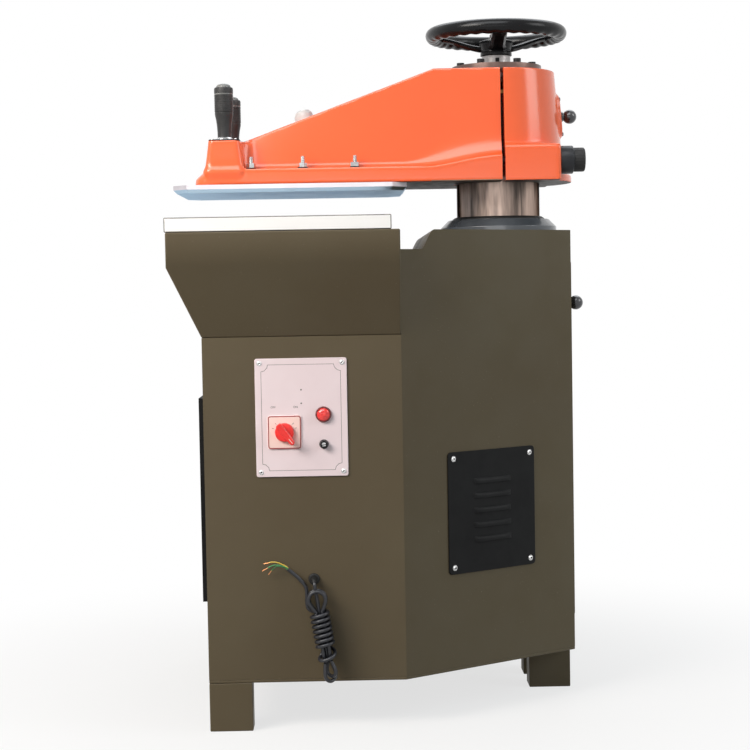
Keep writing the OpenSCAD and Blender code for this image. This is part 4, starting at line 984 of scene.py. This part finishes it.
def make_plate():
    b = Build()
    at = near_frame(PLATE.x, PLATE.z)
    b.prism(soft_square(PLATE_W, PLATE_H, 5, 6), 0.0, PLATE_T, at, 0, 0.6)
    w, h, notch = PLATE_W / 2 - BORDER_IN, PLATE_H / 2 - BORDER_IN, BORDER_NOTCH
    border = []
    for x, y in ((1, -1), (1, 1), (-1, 1), (-1, -1)):
        corner = [(x * (w - notch), y * h), (x * (w - notch + 1.5), y * (h - 6)),
                  (x * (w - 6), y * (h - notch + 1.5)), (x * w, y * (h - notch))]
        border += corner if x * y < 0 else corner[::-1]
    b.ribbon(border, 0.9, PLATE_T + PRINT_OUT, at, 1)
    for z in RIVET_UPS:
        b.lathe([(0, 3.5), (0.7, 3.45), (1.3, 3.2), (1.5, 3)], 20, at @ moved(0, z, 0), 1)
    b.piece("control_plate_printed", [PANEL, GREY_PRINT], "base", ("control_plate",), "panel_grey", sharp=30)


def lettering(text, x, z, name):
    """Plain capitals as a thin flat mesh on the control plate."""
    data = bpy.data.curves.new(name, "FONT")
    data.body = text
    data.size = WORD_SIZE * MM
    data.align_x = "CENTER"
    data.align_y = "CENTER"
    data.extrude = WORD_T * MM
    mesh = applied(linked(name + "_maker", data))
    mesh.transform(near_frame(x, z) @ moved(0, 0, PLATE_T + PRINT_OUT))
    mesh.materials.clear()
    mesh.materials.append(GREY_PRINT)
    placed(mesh, name, "base", ())


def make_switch():
    at = near_frame(SWITCH.x, SWITCH.z)
    face = PLATE_T + SWITCH_T
    b = Build()
    b.prism(soft_square(SWITCH_W, SWITCH_W, 5, 6), PLATE_T, face, at, 0, 0.5)
    b.ribbon(soft_square(SWITCH_W - 3, SWITCH_W - 3, 4.5, 6), 2.0, face + PRINT_OUT, at, 1)
    for a in TICK_ANGLES:
        tick = [(r * cosd(a), r * sind(a)) for r in TICK_ENDS]
        b.ribbon(tick, 0.9, face + PRINT_OUT, at, 2, False)
    b.piece("switch_plate_printed", [CREAM, RED_PRINT, GREY_PRINT], "base", ("switch_plate",), "switch_cream",
            sharp=30)
    b = Build()
    base = [(0, -28), (4, -28), (4, 5.8), (18.2, 5.8), (18.2, 9.5), (17.2, 13), (16.2, 13.8), (0, 13.8)]
    b.lathe(fillet(base, 0.7, 2), 64, at, 0)
    pointer = at @ turned(KNOB_TURN, "Z")
    bar = fillet([(-20, -6.2), (8, -6.4), (26, -4.6), (29.5, 0), (26, 4.6), (8, 6.4), (-20, 6.2)],
                 [5, 0, 2.5, 2.5, 2.5, 0, 5], 4, True)
    b.prism(bar, 9, KNOB_TOP, pointer, 0, 1.4)
    b.ribbon([(14, 0), (25, 0)], 1.2, KNOB_TOP + PRINT_OUT, pointer, 1, False)
    b.piece("switch_knob_moulded", [RED, CREAM], "switch_knob", ("switch_knob",), "red_plastic", sharp=30)
    lettering("OFF", SWITCH.x + OFF_X, SWITCH.z + WORD_UP, "off_mark")
    lettering("ON", SWITCH.x + ON_X, SWITCH.z + WORD_UP, "on_mark")


def make_lamp():
    at = near_frame(LAMP.x, LAMP.z)
    b = Build()
    bezel = [(0, -45), (11, -45), (11, 3), (15.4, 3), (15.4, 5.2), (14.4, 8), (12.6, 8.2), (12.4, 7), (0, 7)]
    b.lathe(fillet(bezel, 0.5, 2), 64, at)
    b.piece("lamp_bezel", [DARK_RED], "base", ("lamp_body",), "red_plastic", sharp=30)
    b = Build()
    dome = [(12.3 * sind(9 * k), 7.2 + 6.4 * cosd(9 * k)) for k in range(1, 11)]
    b.lathe([(0, 13.6)] + dome + [(12.3, 6.6)], 64, at)
    b.piece("lamp_lens_dome", [LENS], "base", ("lamp_lens",), "lamp_red", sharp=50)


def make_fuse():
    at = near_frame(FUSE.x, FUSE.z)
    b = Build()
    holder = [(4.05, -40), (6.5, -40), (6.5, 3), (9, 3), (9, 5.2), (8.2, 6), (4.05, 6)]
    b.lathe(fillet(holder, 0.4, 2), 56, at)
    b.piece("fuse_holder_moulded", [BAKELITE], "base", ("fuse_holder",), "black_plastic", sharp=30)
    b = Build()
    cap = [(0, -28), (4, -28), (4, 6.3), (8, 6.3), (7.9, 8), (7, 13.2), (4.6, 13.3), (4.4, 11.6), (0, 11.6)]
    b.lathe(fillet(cap, 0.4, 2), 56, at, 0)
    slot = at @ turned(8, "Z")
    upper = [(-4.3, -0.1), (4.3, -0.1), (3.7, 2.2), (2, 3.8), (-2, 3.8), (-3.7, 2.2)]
    lower = [(-2.6, -3.5), (2.6, -3.5), (4.3, -1.6), (-4.3, -1.6)]
    b.prism(upper, 11.4, 12.4, slot, 1, 0.2)
    b.prism(lower, 11.4, 12.1, slot, 1, 0.2)
    b.piece("fuse_cap_moulded", [BAKELITE, BRIGHT], "fuse_cap", ("fuse_cap",), "black_plastic", sharp=30)


# Knobs at the rear
CLAMP = middle("clamp_knob")
CLAMP_END = box_mm("clamp_knob")[1].x - AXIS.x
CLAMP_START = box_mm("clamp_knob")[0].x - AXIS.x
LOCK = middle("lock_plunger")
LOCK_END = box_mm("lock_plunger")[1].x - AXIS.x
LOCK_TIP = box_mm("lock_plunger")[0].x - AXIS.x
DOOR_KNOB = middle("door_knob")
DOOR_KNOB_END = box_mm("door_knob")[1].x - AXIS.x
BALL_R = 15.0
CLAMP_GRIP_L = 52.7
FLUTES = 24
FLUTE_IN = 0.45


def make_clamp_knob():
    b = Build()
    at = along_x(CLAMP.y, CLAMP.z)
    collar = CLAMP_END - CLAMP_GRIP_L
    line = [(0, CLAMP_START), (9, CLAMP_START), (9, collar), (28.2, collar), (29, collar + 0.8),
            (29, collar + 26), (28, collar + 27.8), (24.5, collar + 28), (24.5, collar + 29.6)]
    b.lathe(fillet(line, 0.6, 2), 72, at, 0)
    rows = []
    for r, back in ((24.5, 23.5), (24.9, 22), (24.9, 4.5), (24.2, 2.2), (22.4, 0.7), (13, 0)):
        flute = FLUTE_IN if r > 24.6 else 0.0
        row = []
        for i in range(4 * FLUTES):
            a = 90 / FLUTES * i
            d = r - flute * (i % 4 < 2)
            row.append(spot(d * cosd(a), d * sind(a), CLAMP_END - back))
        rows.append(row)
    b.loft(rows, at, 1)
    b.piece("clamp_knob_turned", [KNOB_BLACK, RUBBER], "clamp_knob", ("clamp_knob",), "black_plastic",
            sharp=38)


def make_ball_knobs():
    ball = [(BALL_R * sind(a), BALL_R * (cosd(a) - 1)) for a in range(0, 144, 9)]
    b = Build()
    stem = [(8.6, -27.2), (8.6, -29.2), (10.4, -29.8), (11, -30.8), (11, -33), (7, -33.2),
            (7, LOCK_TIP - LOCK_END), (0, LOCK_TIP - LOCK_END)]
    b.lathe([(r, LOCK_END + z) for r, z in ball + stem], 56, along_x(LOCK.y, LOCK.z))
    b.piece("lock_ball_knob", [BALL_BLACK], "lock_plunger", ("lock_plunger",), "black_plastic", sharp=38)
    b = Build()
    stem = [(8, -27.4), (8, -29), (10.5, -29.6), (11, -31), (11, -32.4), (0, -32.4)]
    b.lathe([(r, DOOR_KNOB_END + z) for r, z in ball + stem], 56, along_x(DOOR_KNOB.y, DOOR_KNOB.z))
    b.piece("door_ball_knob", [BALL_BLACK], "rear_door", ("door_knob",), "black_plastic", sharp=38)


make_handwheel()
make_screw()
make_grips()
make_vents()
make_panel_screws()
make_plate()
make_switch()
make_lamp()
make_fuse()
make_clamp_knob()
make_ball_knobs()


# Castings: the source's forms with the fillets of a casting, joined and softened
ARM_LOW, ARM_HIGH = box_mm("arm_casting")
CAP_LOW, CAP_HIGH = box_mm("rear_cap")
AX = AXIS.x
HEAD_Z = ARM_LOW.z
HEAD_TOP = ARM_HIGH.z
FOOT_TOP = HEAD_Z + 32
FOOT_HALF = ARM_HIGH.y
ARM_FRONT = ARM_LOW.x
BEAM_FRONT = ARM_FRONT + 90
SLOPE_START = BEAM_FRONT + 10
BEAM_CREST = AX - 140
TOWER_X = middle("near_button").x
TOWER_Y = 124.0
TOWER_W = 52
TOWER_SIDE = 146
TOWER_TOP = GRIP_LOW
LOW_HALF = 118.0
TOP_HALF = 98.0
HUB_R = (128.0, 122.0)
BORE_R = 88.3
ROOF_Z = HEAD_TOP - 24
FLARE_START = AX - 205
FLARE_RUN = 120
EDGE_RISE = 21
EDGE_RUN = 170
SMALL_FILLET = 14
BROAD_FILLET = 80
INTO_BEAM = 30
BARE_UP = 2
WORN_UP = 2.6
WORN_START = AX - 150
BEAM_LEAN = 6
KEY_HALF = 10.4
CAST_VOXEL = 2.8
CAST_SHARP = 42
SCREW_HOLE_R = 40

# Each tower's sections: height over the arm's underside, length, and how far the section flares
TOWER_ROWS = ((12, 80, 0), (26, 79, 6), (32, 78.5, 4), (36, 78, 2), (42, 77.5, 0.6), (50, 76, 0), (68, 71, 0),
              (91, 65, 0))

# The foot's sections: height over the underside, and how far its front lies back
FOOT_ROWS = ((0, 0), (11, 0), (13, 1.2), (17, 5), (23, 12), (29, 19), (32, 23))

# Cutting forms reach well past the castings
FAR_X = 900
FAR_Y = 400
FAR_LOW = 900
FAR_HIGH = 1500
BORE_LOW = 1000
BORE_HIGH = 1400


def hull_of(points):
    """The convex form round some points, as vertices and faces."""
    b = bmesh.new()
    for p in points:
        b.verts.new(p)
    bmesh.ops.convex_hull(b, input=b.verts)
    b.verts.ensure_lookup_table()
    b.verts.index_update()
    used = {v.index for f in b.faces for v in f.verts}
    order = {old: new for new, old in enumerate(sorted(used))}
    verts = [b.verts[i].co.copy() for i in sorted(used)]
    faces = [[order[v.index] for v in f.verts] for f in b.faces]
    b.free()
    return verts, faces


def corners(low, high):
    return [spot(x, y, z) for x in (low[0], high[0]) for y in (low[1], high[1]) for z in (low[2], high[2])]


def box_build(low, high):
    return Build().add(*hull_of(corners(low, high)))


def cast_form(build, voxel, rounds):
    """Joins all forms into one skin and softens its edges."""
    ob = linked("maker", build.mesh("casting"))
    join = ob.modifiers.new("join", "REMESH")
    join.mode = "VOXEL"
    join.voxel_size = voxel * MM
    soften = ob.modifiers.new("soften", "SMOOTH")
    soften.factor = 0.5
    soften.iterations = rounds
    return applied(ob)


def cut_form(mesh, cutters):
    for c in cutters:
        ob = linked("maker", mesh)
        tool = linked("maker", c.mesh("tool"))
        cut = ob.modifiers.new("cut", "BOOLEAN")
        cut.operation = "DIFFERENCE"
        cut.solver = "EXACT"
        cut.object = tool
        mesh = applied(ob)
        bpy.data.objects.remove(tool)
    return mesh


def head_cuts():
    bore = [(0, BORE_LOW), (BORE_R, BORE_LOW), (BORE_R, ROOF_Z), (SCREW_HOLE_R, ROOF_Z),
            (SCREW_HOLE_R, BORE_HIGH), (0, BORE_HIGH)]
    below = box_build((-FAR_X, -FAR_Y, FAR_LOW), (FAR_X, FAR_Y, HEAD_Z))
    return [Build().lathe(bore, 96, ON_AXIS), below]


def finish_casting(mesh, name, node):
    """Painted all over, apart from the machined underside and the worn lower edge by the slot."""
    mesh.materials.clear()
    for m in (ORANGE, BARE_CAST, BARE_EDGE):
        mesh.materials.append(m)
    index = []
    for p in mesh.polygons:
        under = p.normal.z < -0.9 and p.center.z < (HEAD_Z + BARE_UP) * MM
        edge = p.center.z < (HEAD_Z + WORN_UP) * MM and abs(p.normal.z) < 0.6
        worn = edge and WORN_START < p.center.x / MM < ARM_HIGH.x - 1
        index.append(1 if under else 2 if worn else 0)
    mesh.polygons.foreach_set("material_index", index)
    mesh.set_sharp_from_angle(angle=math.radians(CAST_SHARP))
    return placed(mesh, name, "arm", (node,))


def beam_top(x):
    """Height of the beam's top: level behind the towers, rising to the crest, level to the hub."""
    run = (x - SLOPE_START) / (BEAM_CREST - SLOPE_START)
    return mix(TOWER_TOP, HEAD_TOP, min(max(run, 0.0), 1.0))


def beam_half(x, z):
    """Half the beam's width at a place along it and a height: a smooth twist from the front to the hub."""
    run = (x - BEAM_FRONT) / (AX - BEAM_FRONT)
    low, top = mix(LOW_HALF, HUB_R[0], run), mix(TOP_HALF, HUB_R[1], run)
    return mix(low, top, (z - FOOT_TOP) / (beam_top(x) - FOOT_TOP))


def beam_sections():
    """Sections of the beam from its front, which leans back a little, to the column's axis."""
    out = []
    rising = [mix(SLOPE_START, BEAM_CREST, t) for t in even(90)]
    level = [mix(BEAM_CREST, AX, t) for t in even(8)[1:]]
    for x in [BEAM_FRONT] + rising + level:
        low, top, z = beam_half(x, FOOT_TOP), beam_half(x, beam_top(x)), beam_top(x)
        lean = BEAM_LEAN if x == BEAM_FRONT else 0
        line = [(-low, HEAD_Z), (low, HEAD_Z), (low, FOOT_TOP), (top, z), (-top, z), (-low, FOOT_TOP)]
        out.append([spot(x - lean * (h < z), y, h) for y, h in line])
    return out


def flank_sections(side):
    """Foot and side joined by a concave fillet, which grows into a broad sweep next to the hub."""
    out = []
    for t in even(59):
        x = mix(BEAM_FRONT + 2, AX + 12, t)
        grow = smooth((x - FLARE_START) / FLARE_RUN)
        edge = FOOT_TOP + EDGE_RISE * smooth((x - AX + EDGE_RUN) / EDGE_RUN)
        top = edge + mix(SMALL_FILLET, BROAD_FILLET, grow)
        half = beam_half(x, top)
        width = mix(SMALL_FILLET, FOOT_HALF - half, grow)
        line = [(half - INTO_BEAM, HEAD_Z), (FOOT_HALF, HEAD_Z), (FOOT_HALF, edge)]
        for i in range(11):
            a = 9 * i
            line.append((half + width * (1 - sind(a)), edge + (top - edge) * (1 - cosd(a))))
        line.append((half - INTO_BEAM, top))
        out.append([spot(x, side * y, z) for y, z in line])
    return out


def foot_sections():
    """The foot's plate, whose front sweeps down to a thin edge."""
    rear = AX + 40
    plan = [(ARM_FRONT, -FOOT_HALF), (rear, -FOOT_HALF), (rear, FOOT_HALF), (ARM_FRONT, FOOT_HALF)]
    outline = fillet(plan, [45, 0, 0, 45], 10, True)
    out = []
    for up, back in FOOT_ROWS:
        out.append([spot(x + back * smooth((ARM_FRONT + 75 - x) / 60), y, HEAD_Z + up) for x, y in outline])
    return out


def tower_section(side, up, length, more):
    outline = soft_square(length + 2 * more, TOWER_W + 2 * more, 14 + more, 6)
    return [spot(TOWER_X + x, side * TOWER_Y + y, HEAD_Z + up) for x, y in outline]


def tower_web(side):
    """The concave corner between a tower and the beam's side."""
    out = []
    for up in (24, 40, 60, 80, 90.5):
        z = HEAD_Z + up
        start, reach = TOWER_X + 27, mix(48, 34, up / 90)
        half = beam_half(start + reach, z)
        line = [(start - 20, half - 20), (start - 20, TOWER_SIDE)]
        for i in range(9):
            a = 11.25 * i
            line.append((start + reach * (1 - cosd(a)), TOWER_SIDE - (TOWER_SIDE - half) * sind(a)))
        line.append((start + reach, half - 20))
        out.append([spot(x, side * y, z) for x, y in line])
    return out


def make_arm():
    b = Build()
    b.loft(foot_sections())
    b.loft(beam_sections())
    b.lathe([(0, HEAD_Z), (HUB_R[0], HEAD_Z), (HUB_R[1], HEAD_TOP), (0, HEAD_TOP)], 96, ON_AXIS)
    for side in (-1, 1):
        b.loft(flank_sections(side))
        b.loft(tower_web(side))
        b.loft([tower_section(side, *row) for row in TOWER_ROWS])
    mesh = cast_form(b, CAST_VOXEL, 5)
    slot = box_build((ARM_HIGH.x, -FAR_Y, FAR_LOW), (FAR_X, FAR_Y, FAR_HIGH))
    key = box_build((AX - 94.4, -KEY_HALF, BORE_LOW), (AX - 60, KEY_HALF, ROOF_Z))
    mesh = cut_form(mesh, [slot, key] + head_cuts())
    finish_casting(mesh, "arm_painted", "arm_casting")


# Rear half of the hub, with its clamp bosses and the oval pad of the height lock
CAP_R = (141.0, 122.0)
CAP_FLANGE_R = CAP_HIGH.x - AX
BOSS_END = AX + 118
BOSS_D = 68.0
LOCK_HOLE_R = 7.2
CLAMP_HOLE_R = 9.2
CAP_LEAN = math.degrees(math.atan2(CAP_R[0] - CAP_R[1], HEAD_TOP - HEAD_Z))
PAD_R = mix(CAP_R[0], CAP_R[1], (LOCK.z - HEAD_Z) / (HEAD_TOP - HEAD_Z))
ON_PAD = along_x(0, LOCK.z) @ moved(0, 0, PAD_R) @ turned(-CAP_LEAN, "Y")
PAD_SCREW_UP = 37
PLUG_X = BEAM_FRONT + 138


def make_cap():
    b = Build()
    b.lathe([(0, HEAD_Z), (CAP_R[0], HEAD_Z), (CAP_R[1], HEAD_TOP), (0, HEAD_TOP)], 96, ON_AXIS)
    boss_side = BOSS_D / 2 - CLAMP.y
    around = math.degrees(math.asin(boss_side / CAP_FLANGE_R))
    rows = []
    for up, r in ((0, CAP_FLANGE_R), (14, CAP_FLANGE_R), (18, CAP_FLANGE_R - 6)):
        angles = [mix(-around, around, t) for t in even(48)]
        arc = [spot(AX + r * cosd(a), r * sind(a), HEAD_Z + up) for a in angles]
        rows.append(arc + [spot(AX, boss_side, HEAD_Z + up), spot(AX, -boss_side, HEAD_Z + up)])
    b.loft(rows)
    for side in (-1, 1):
        rows = []
        for x, back in ((AX - 4, 0), (BOSS_END - 4, 0), (BOSS_END - 1, 1), (BOSS_END + 0.6, 3)):
            half, low = BOSS_D / 2 - back, HEAD_Z - CLAMP.z
            square = [(-half, low), (half, low), (half, half), (-half, half)]
            outline = fillet(square, [1, 1, 11, 11], 6, True)
            rows.append([spot(x, side * -CLAMP.y + y, CLAMP.z + z) for y, z in outline])
        b.loft(rows)
    b.prism(soft_square(92, 58, 28.5, 8), -20, 5, ON_PAD, 0, 1.5)
    mesh = cast_form(b, CAST_VOXEL, 4)
    slot = box_build((-FAR_X, -FAR_Y, FAR_LOW), (CAP_LOW.x, FAR_Y, FAR_HIGH))
    holes = [(LOCK_HOLE_R, 60, 0, LOCK.z)]
    holes += [(CLAMP_HOLE_R, -40, y, CLAMP.z) for y in (CLAMP.y, -CLAMP.y)]
    pins = []
    for r, low, y, z in holes:
        pins.append(Build().lathe([(0, low), (r, low), (r, 200), (0, 200)], 32, along_x(y, z)))
    mesh = cut_form(mesh, [slot] + pins + head_cuts())
    finish_casting(mesh, "rear_cap_painted", "rear_cap")


def make_small_fittings():
    """Screws of the oval pad, and the domed plug on the arm's slope, whose pale colour is a painted
    highlight.
    """
    b = Build()
    head = [(0, 3.4), (1.6, 3.4), (1.8, 4.4), (3.6, 3.9), (4.6, 2.4), (4.8, 0)]
    for up in (-PAD_SCREW_UP, PAD_SCREW_UP):
        b.lathe(head, 28, ON_PAD @ moved(up, 0, 4.6))
    b.piece("pad_screws", [BLACKENED], "arm", (), "blackened_steel", sharp=38)
    rise = (HEAD_TOP - TOWER_TOP) / (BEAM_CREST - SLOPE_START)
    at = moved(PLUG_X, 0, beam_top(PLUG_X)) @ turned(-math.degrees(math.atan(rise)), "Y")
    b = Build()
    dome = [(0, 29), (8, 28), (15, 24.5), (19.5, 17), (20.5, 8), (21.5, 3.5), (24, 3), (24, -4), (0, -4)]
    b.lathe(fillet(dome, 1.2, 3), 56, at)
    b.piece("slope_plug", [PLUG_HIGHLIGHT], "arm", (), "plated_steel", sharp=38)


# Platen's studs with their thread, and hexagon nuts on washers
STUD_XS = (ARM_FRONT + 117, ARM_FRONT + 223, ARM_FRONT + 330)
STUD_Y = 138.0
STUD_LOW, STUD_HIGH = box_mm("platen_studs")
STUD_R = 4.9
STUD_ROOT_R = 4.3
STUD_PITCH = 1.5
STUD_THREADS = 16
WASHER_R = 5.05


def make_studs():
    studs, nuts = Build(), Build()
    places = [(x, y) for x in STUD_XS for y in (-STUD_Y, STUD_Y)]
    for i, (x, y) in enumerate(places):
        line = [(0, STUD_LOW.z), (STUD_R, STUD_LOW.z), (STUD_R, FOOT_TOP)]
        for k in range(STUD_THREADS):
            crest = FOOT_TOP + 1 + STUD_PITCH * k
            line += [(STUD_R, crest), (STUD_ROOT_R, crest + STUD_PITCH / 2)]
        studs.lathe(line + [(4.2, STUD_HIGH.z - 0.6), (0, STUD_HIGH.z)], 28, moved(x, y, 0))
        at = moved(x, y, FOOT_TOP) @ turned(13 + 17 * i, "Z")
        nuts.lathe([(WASHER_R, 0), (11, 0), (11, 1.6), (10.6, 2), (WASHER_R, 2)], 40, at, 1)
        nuts.prism(hexagon(16.5), 2, 11, at, 0, 0.9)
    studs.piece("platen_studs_threaded", [BRIGHT], "arm", ("platen_studs",), "machine_steel", sharp=50)
    nuts.piece("platen_nuts_hex", [BRIGHT, BLACKENED], "arm", ("platen_nuts",), "machine_steel")


make_arm()
make_cap()
make_small_fittings()
make_studs()


# Return spring, a coil of fixed length here, though the real one shortens with the stroke towards the
# cylinder's head
SPRING_LOW, SPRING_HIGH = box_mm("return_spring")
SPRING_WIRE = 11.0
SPRING_TURNS = 5


def make_spring():
    r = (SPRING_HIGH.x - SPRING_LOW.x - SPRING_WIRE) / 2
    low, high = SPRING_LOW.z + SPRING_WIRE / 2, SPRING_HIGH.z - SPRING_WIRE / 2
    line = []
    for t in even(48 * SPRING_TURNS):
        a = 360 * SPRING_TURNS * t
        line.append(spot(AXIS.x + r * cosd(a), AXIS.y + r * sind(a), mix(low, high, t)))
    b = Build()
    b.tube(line, SPRING_WIRE / 2, 16)
    ob = b.piece("return_spring_coil", [DARK_GREY], "base", ("return_spring",))
    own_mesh(ob)


make_spring()

# Sheet-metal and machined nodes with rounded edges
DRESSED = {"cabinet_shell": (2.5, OLIVE), "table_skirt": (3.0, OLIVE), "legs": (2.0, OLIVE),
           "floor_pan": (1.5, OLIVE), "rear_door": (1.5, OLIVE), "front_cover": (2.0, BLACK_SHEET),
           "deck_collar": (1.0, DARK_GREY), "top_flange": (1.0, FLANGE_PAINTED_REFLECTION),
           "head_screws": (0.6, BLACKENED), "wiper_seal": (0.8, RUBBER), "door_hinges": (0.6, DARK_GREY)}
for node, (width, material) in DRESSED.items():
    dress(node, width, material)
dress_platen()
dress_board()

# Nodes that keep their shape
KEPT = {"bed_plate": INNER_STEEL, "bed_webs": DARK_GREY, "collar_screws": BLACKENED, "guide_tube": DARK_GREY,
        "guide_bushes": BRONZE, "cylinder_barrel": INNER_STEEL, "cylinder_head": DARK_GREY,
        "spring_seat": INNER_STEEL, "oil_tank": CAST, "motor_body": CAST,
        "motor_rotor": INNER_STEEL, "gear_pump": CAST, "valve_block": INNER_STEEL, "hydraulic_hoses": RUBBER,
        "contactor_box": BUTTON_GREY, "switch_body": BAKELITE, "column_tube": TURNED, "piston": TURNED,
        "feather_key": INNER_STEEL, "lift_nut": BRONZE}
for node, material in KEPT.items():
    paint(node, material)


# Floor, world and lights
FLOOR_HALF = 14.0
FLOOR_DOWN = 0.5 * MM
LIGHT_AIM = Vector((0, 0, 0.8))
WHITE = (1, 1, 1, 1)


def seen_ray(t):
    """1 for a ray of the camera, a reflection or a transmission, 0 for one that lights the object."""
    path = t.nodes.new("ShaderNodeLightPath")
    value = path.outputs["Is Camera Ray"]
    for name in ("Is Glossy Ray", "Is Transmission Ray"):
        n = t.nodes.new("ShaderNodeMath")
        n.operation = "MAXIMUM"
        t.links.new(value, n.inputs[0])
        t.links.new(path.outputs[name], n.inputs[1])
        value = n.outputs[0]
    return value


def mix_shaders(t, factor, a, b, output):
    n = t.nodes.new("ShaderNodeMixShader")
    t.links.new(factor, n.inputs[0])
    t.links.new(a, n.inputs[1])
    t.links.new(b, n.inputs[2])
    t.links.new(n.outputs[0], t.nodes[output].inputs["Surface"])


def make_floor():
    """A pale floor that keeps the object's shadow and fades to white away from it."""
    m, t, s = node_material("floor")
    seen = seen_ray(t)
    t.links.new(blend_colour(t, seen, (0.28, 0.27, 0.25), (0.66, 0.66, 0.66)), s.inputs["Base Color"])
    put(s, {"Roughness": 0.9, "Specular IOR Level": 0.1})
    coords = t.nodes.new("ShaderNodeTexCoord").outputs["Object"]
    away = t.nodes.new("ShaderNodeVectorMath")
    away.operation = "LENGTH"
    t.links.new(coords, away.inputs[0])
    amount = t.nodes.new("ShaderNodeMath")
    amount.operation = "MULTIPLY"
    t.links.new(spread(t, away.outputs["Value"], 0.3, 1.5, 0.72, 1.0), amount.inputs[0])
    t.links.new(seen, amount.inputs[1])
    white = t.nodes.new("ShaderNodeEmission")
    put(white, {"Color": WHITE})
    mix_shaders(t, amount.outputs[0], s.outputs[0], white.outputs[0], "Material Output")
    mesh = bpy.data.meshes.new("floor")
    square = [(x * FLOOR_HALF, y * FLOOR_HALF, 0) for x, y in ((-1, -1), (1, -1), (1, 1), (-1, 1))]
    mesh.from_pydata(square, [], [[0, 1, 2, 3]])
    mesh.materials.append(m)
    floor = linked("floor", mesh)
    floor.location.z = -FLOOR_DOWN


def make_world():
    world = bpy.data.worlds.new("world")
    scene.world = world
    world.use_nodes = True
    t = world.node_tree
    light = t.nodes["Background"]
    put(light, {"Color": (0.94, 0.97, 1.0, 1.0), "Strength": 0.20})
    white = t.nodes.new("ShaderNodeBackground")
    put(white, {"Color": WHITE})
    mix_shaders(t, seen_ray(t), light.outputs[0], white.outputs[0], "World Output")


def soft_box(name, at, size, power, colour=(1, 1, 1)):
    data = bpy.data.lights.new(name, "AREA")
    data.shape = "RECTANGLE"
    data.size, data.size_y = size
    data.energy = power
    data.color = colour
    lamp = linked(name, data)
    lamp.visible_camera = False
    lamp.location = at
    lamp.rotation_mode = "QUATERNION"
    lamp.rotation_quaternion = (LIGHT_AIM - Vector(at)).to_track_quat("-Z", "Y")
    return lamp


make_floor()
make_world()
soft_box("key", (-2.9, -3.0, 3.4), (2.4, 1.8), 176, (1.0, 0.96, 0.90))
soft_box("warm", (-2.0, -1.5, 1.7), (0.9, 0.9), 34, (1.0, 0.87, 0.74)).visible_glossy = False
soft_box("side", (3.2, -1.2, 1.9), (1.4, 2.4), 60, (0.88, 0.98, 1.0)).visible_glossy = False
soft_box("back", (0.6, 3.4, 2.4), (2.4, 1.8), 60).visible_glossy = False

# Cards that only show as gloss: over the near side, in front, to the right of the head, and the sky behind
soft_box("near_card", (-0.6, -2.0, 3.7), (3.0, 1.8), 80, (0.94, 0.97, 1.0)).visible_diffuse = False
soft_box("front_card", (-0.5, -3.6, 1.12), (2.6, 0.32), 7).visible_diffuse = False
soft_box("side_card", (3.0, -1.2, 2.5), (1.4, 1.5), 26).visible_diffuse = False
soft_box("sky_card", (0.3, 2.0, 4.2), (4.0, 2.2), 60, (0.88, 0.94, 1.0)).visible_diffuse = False
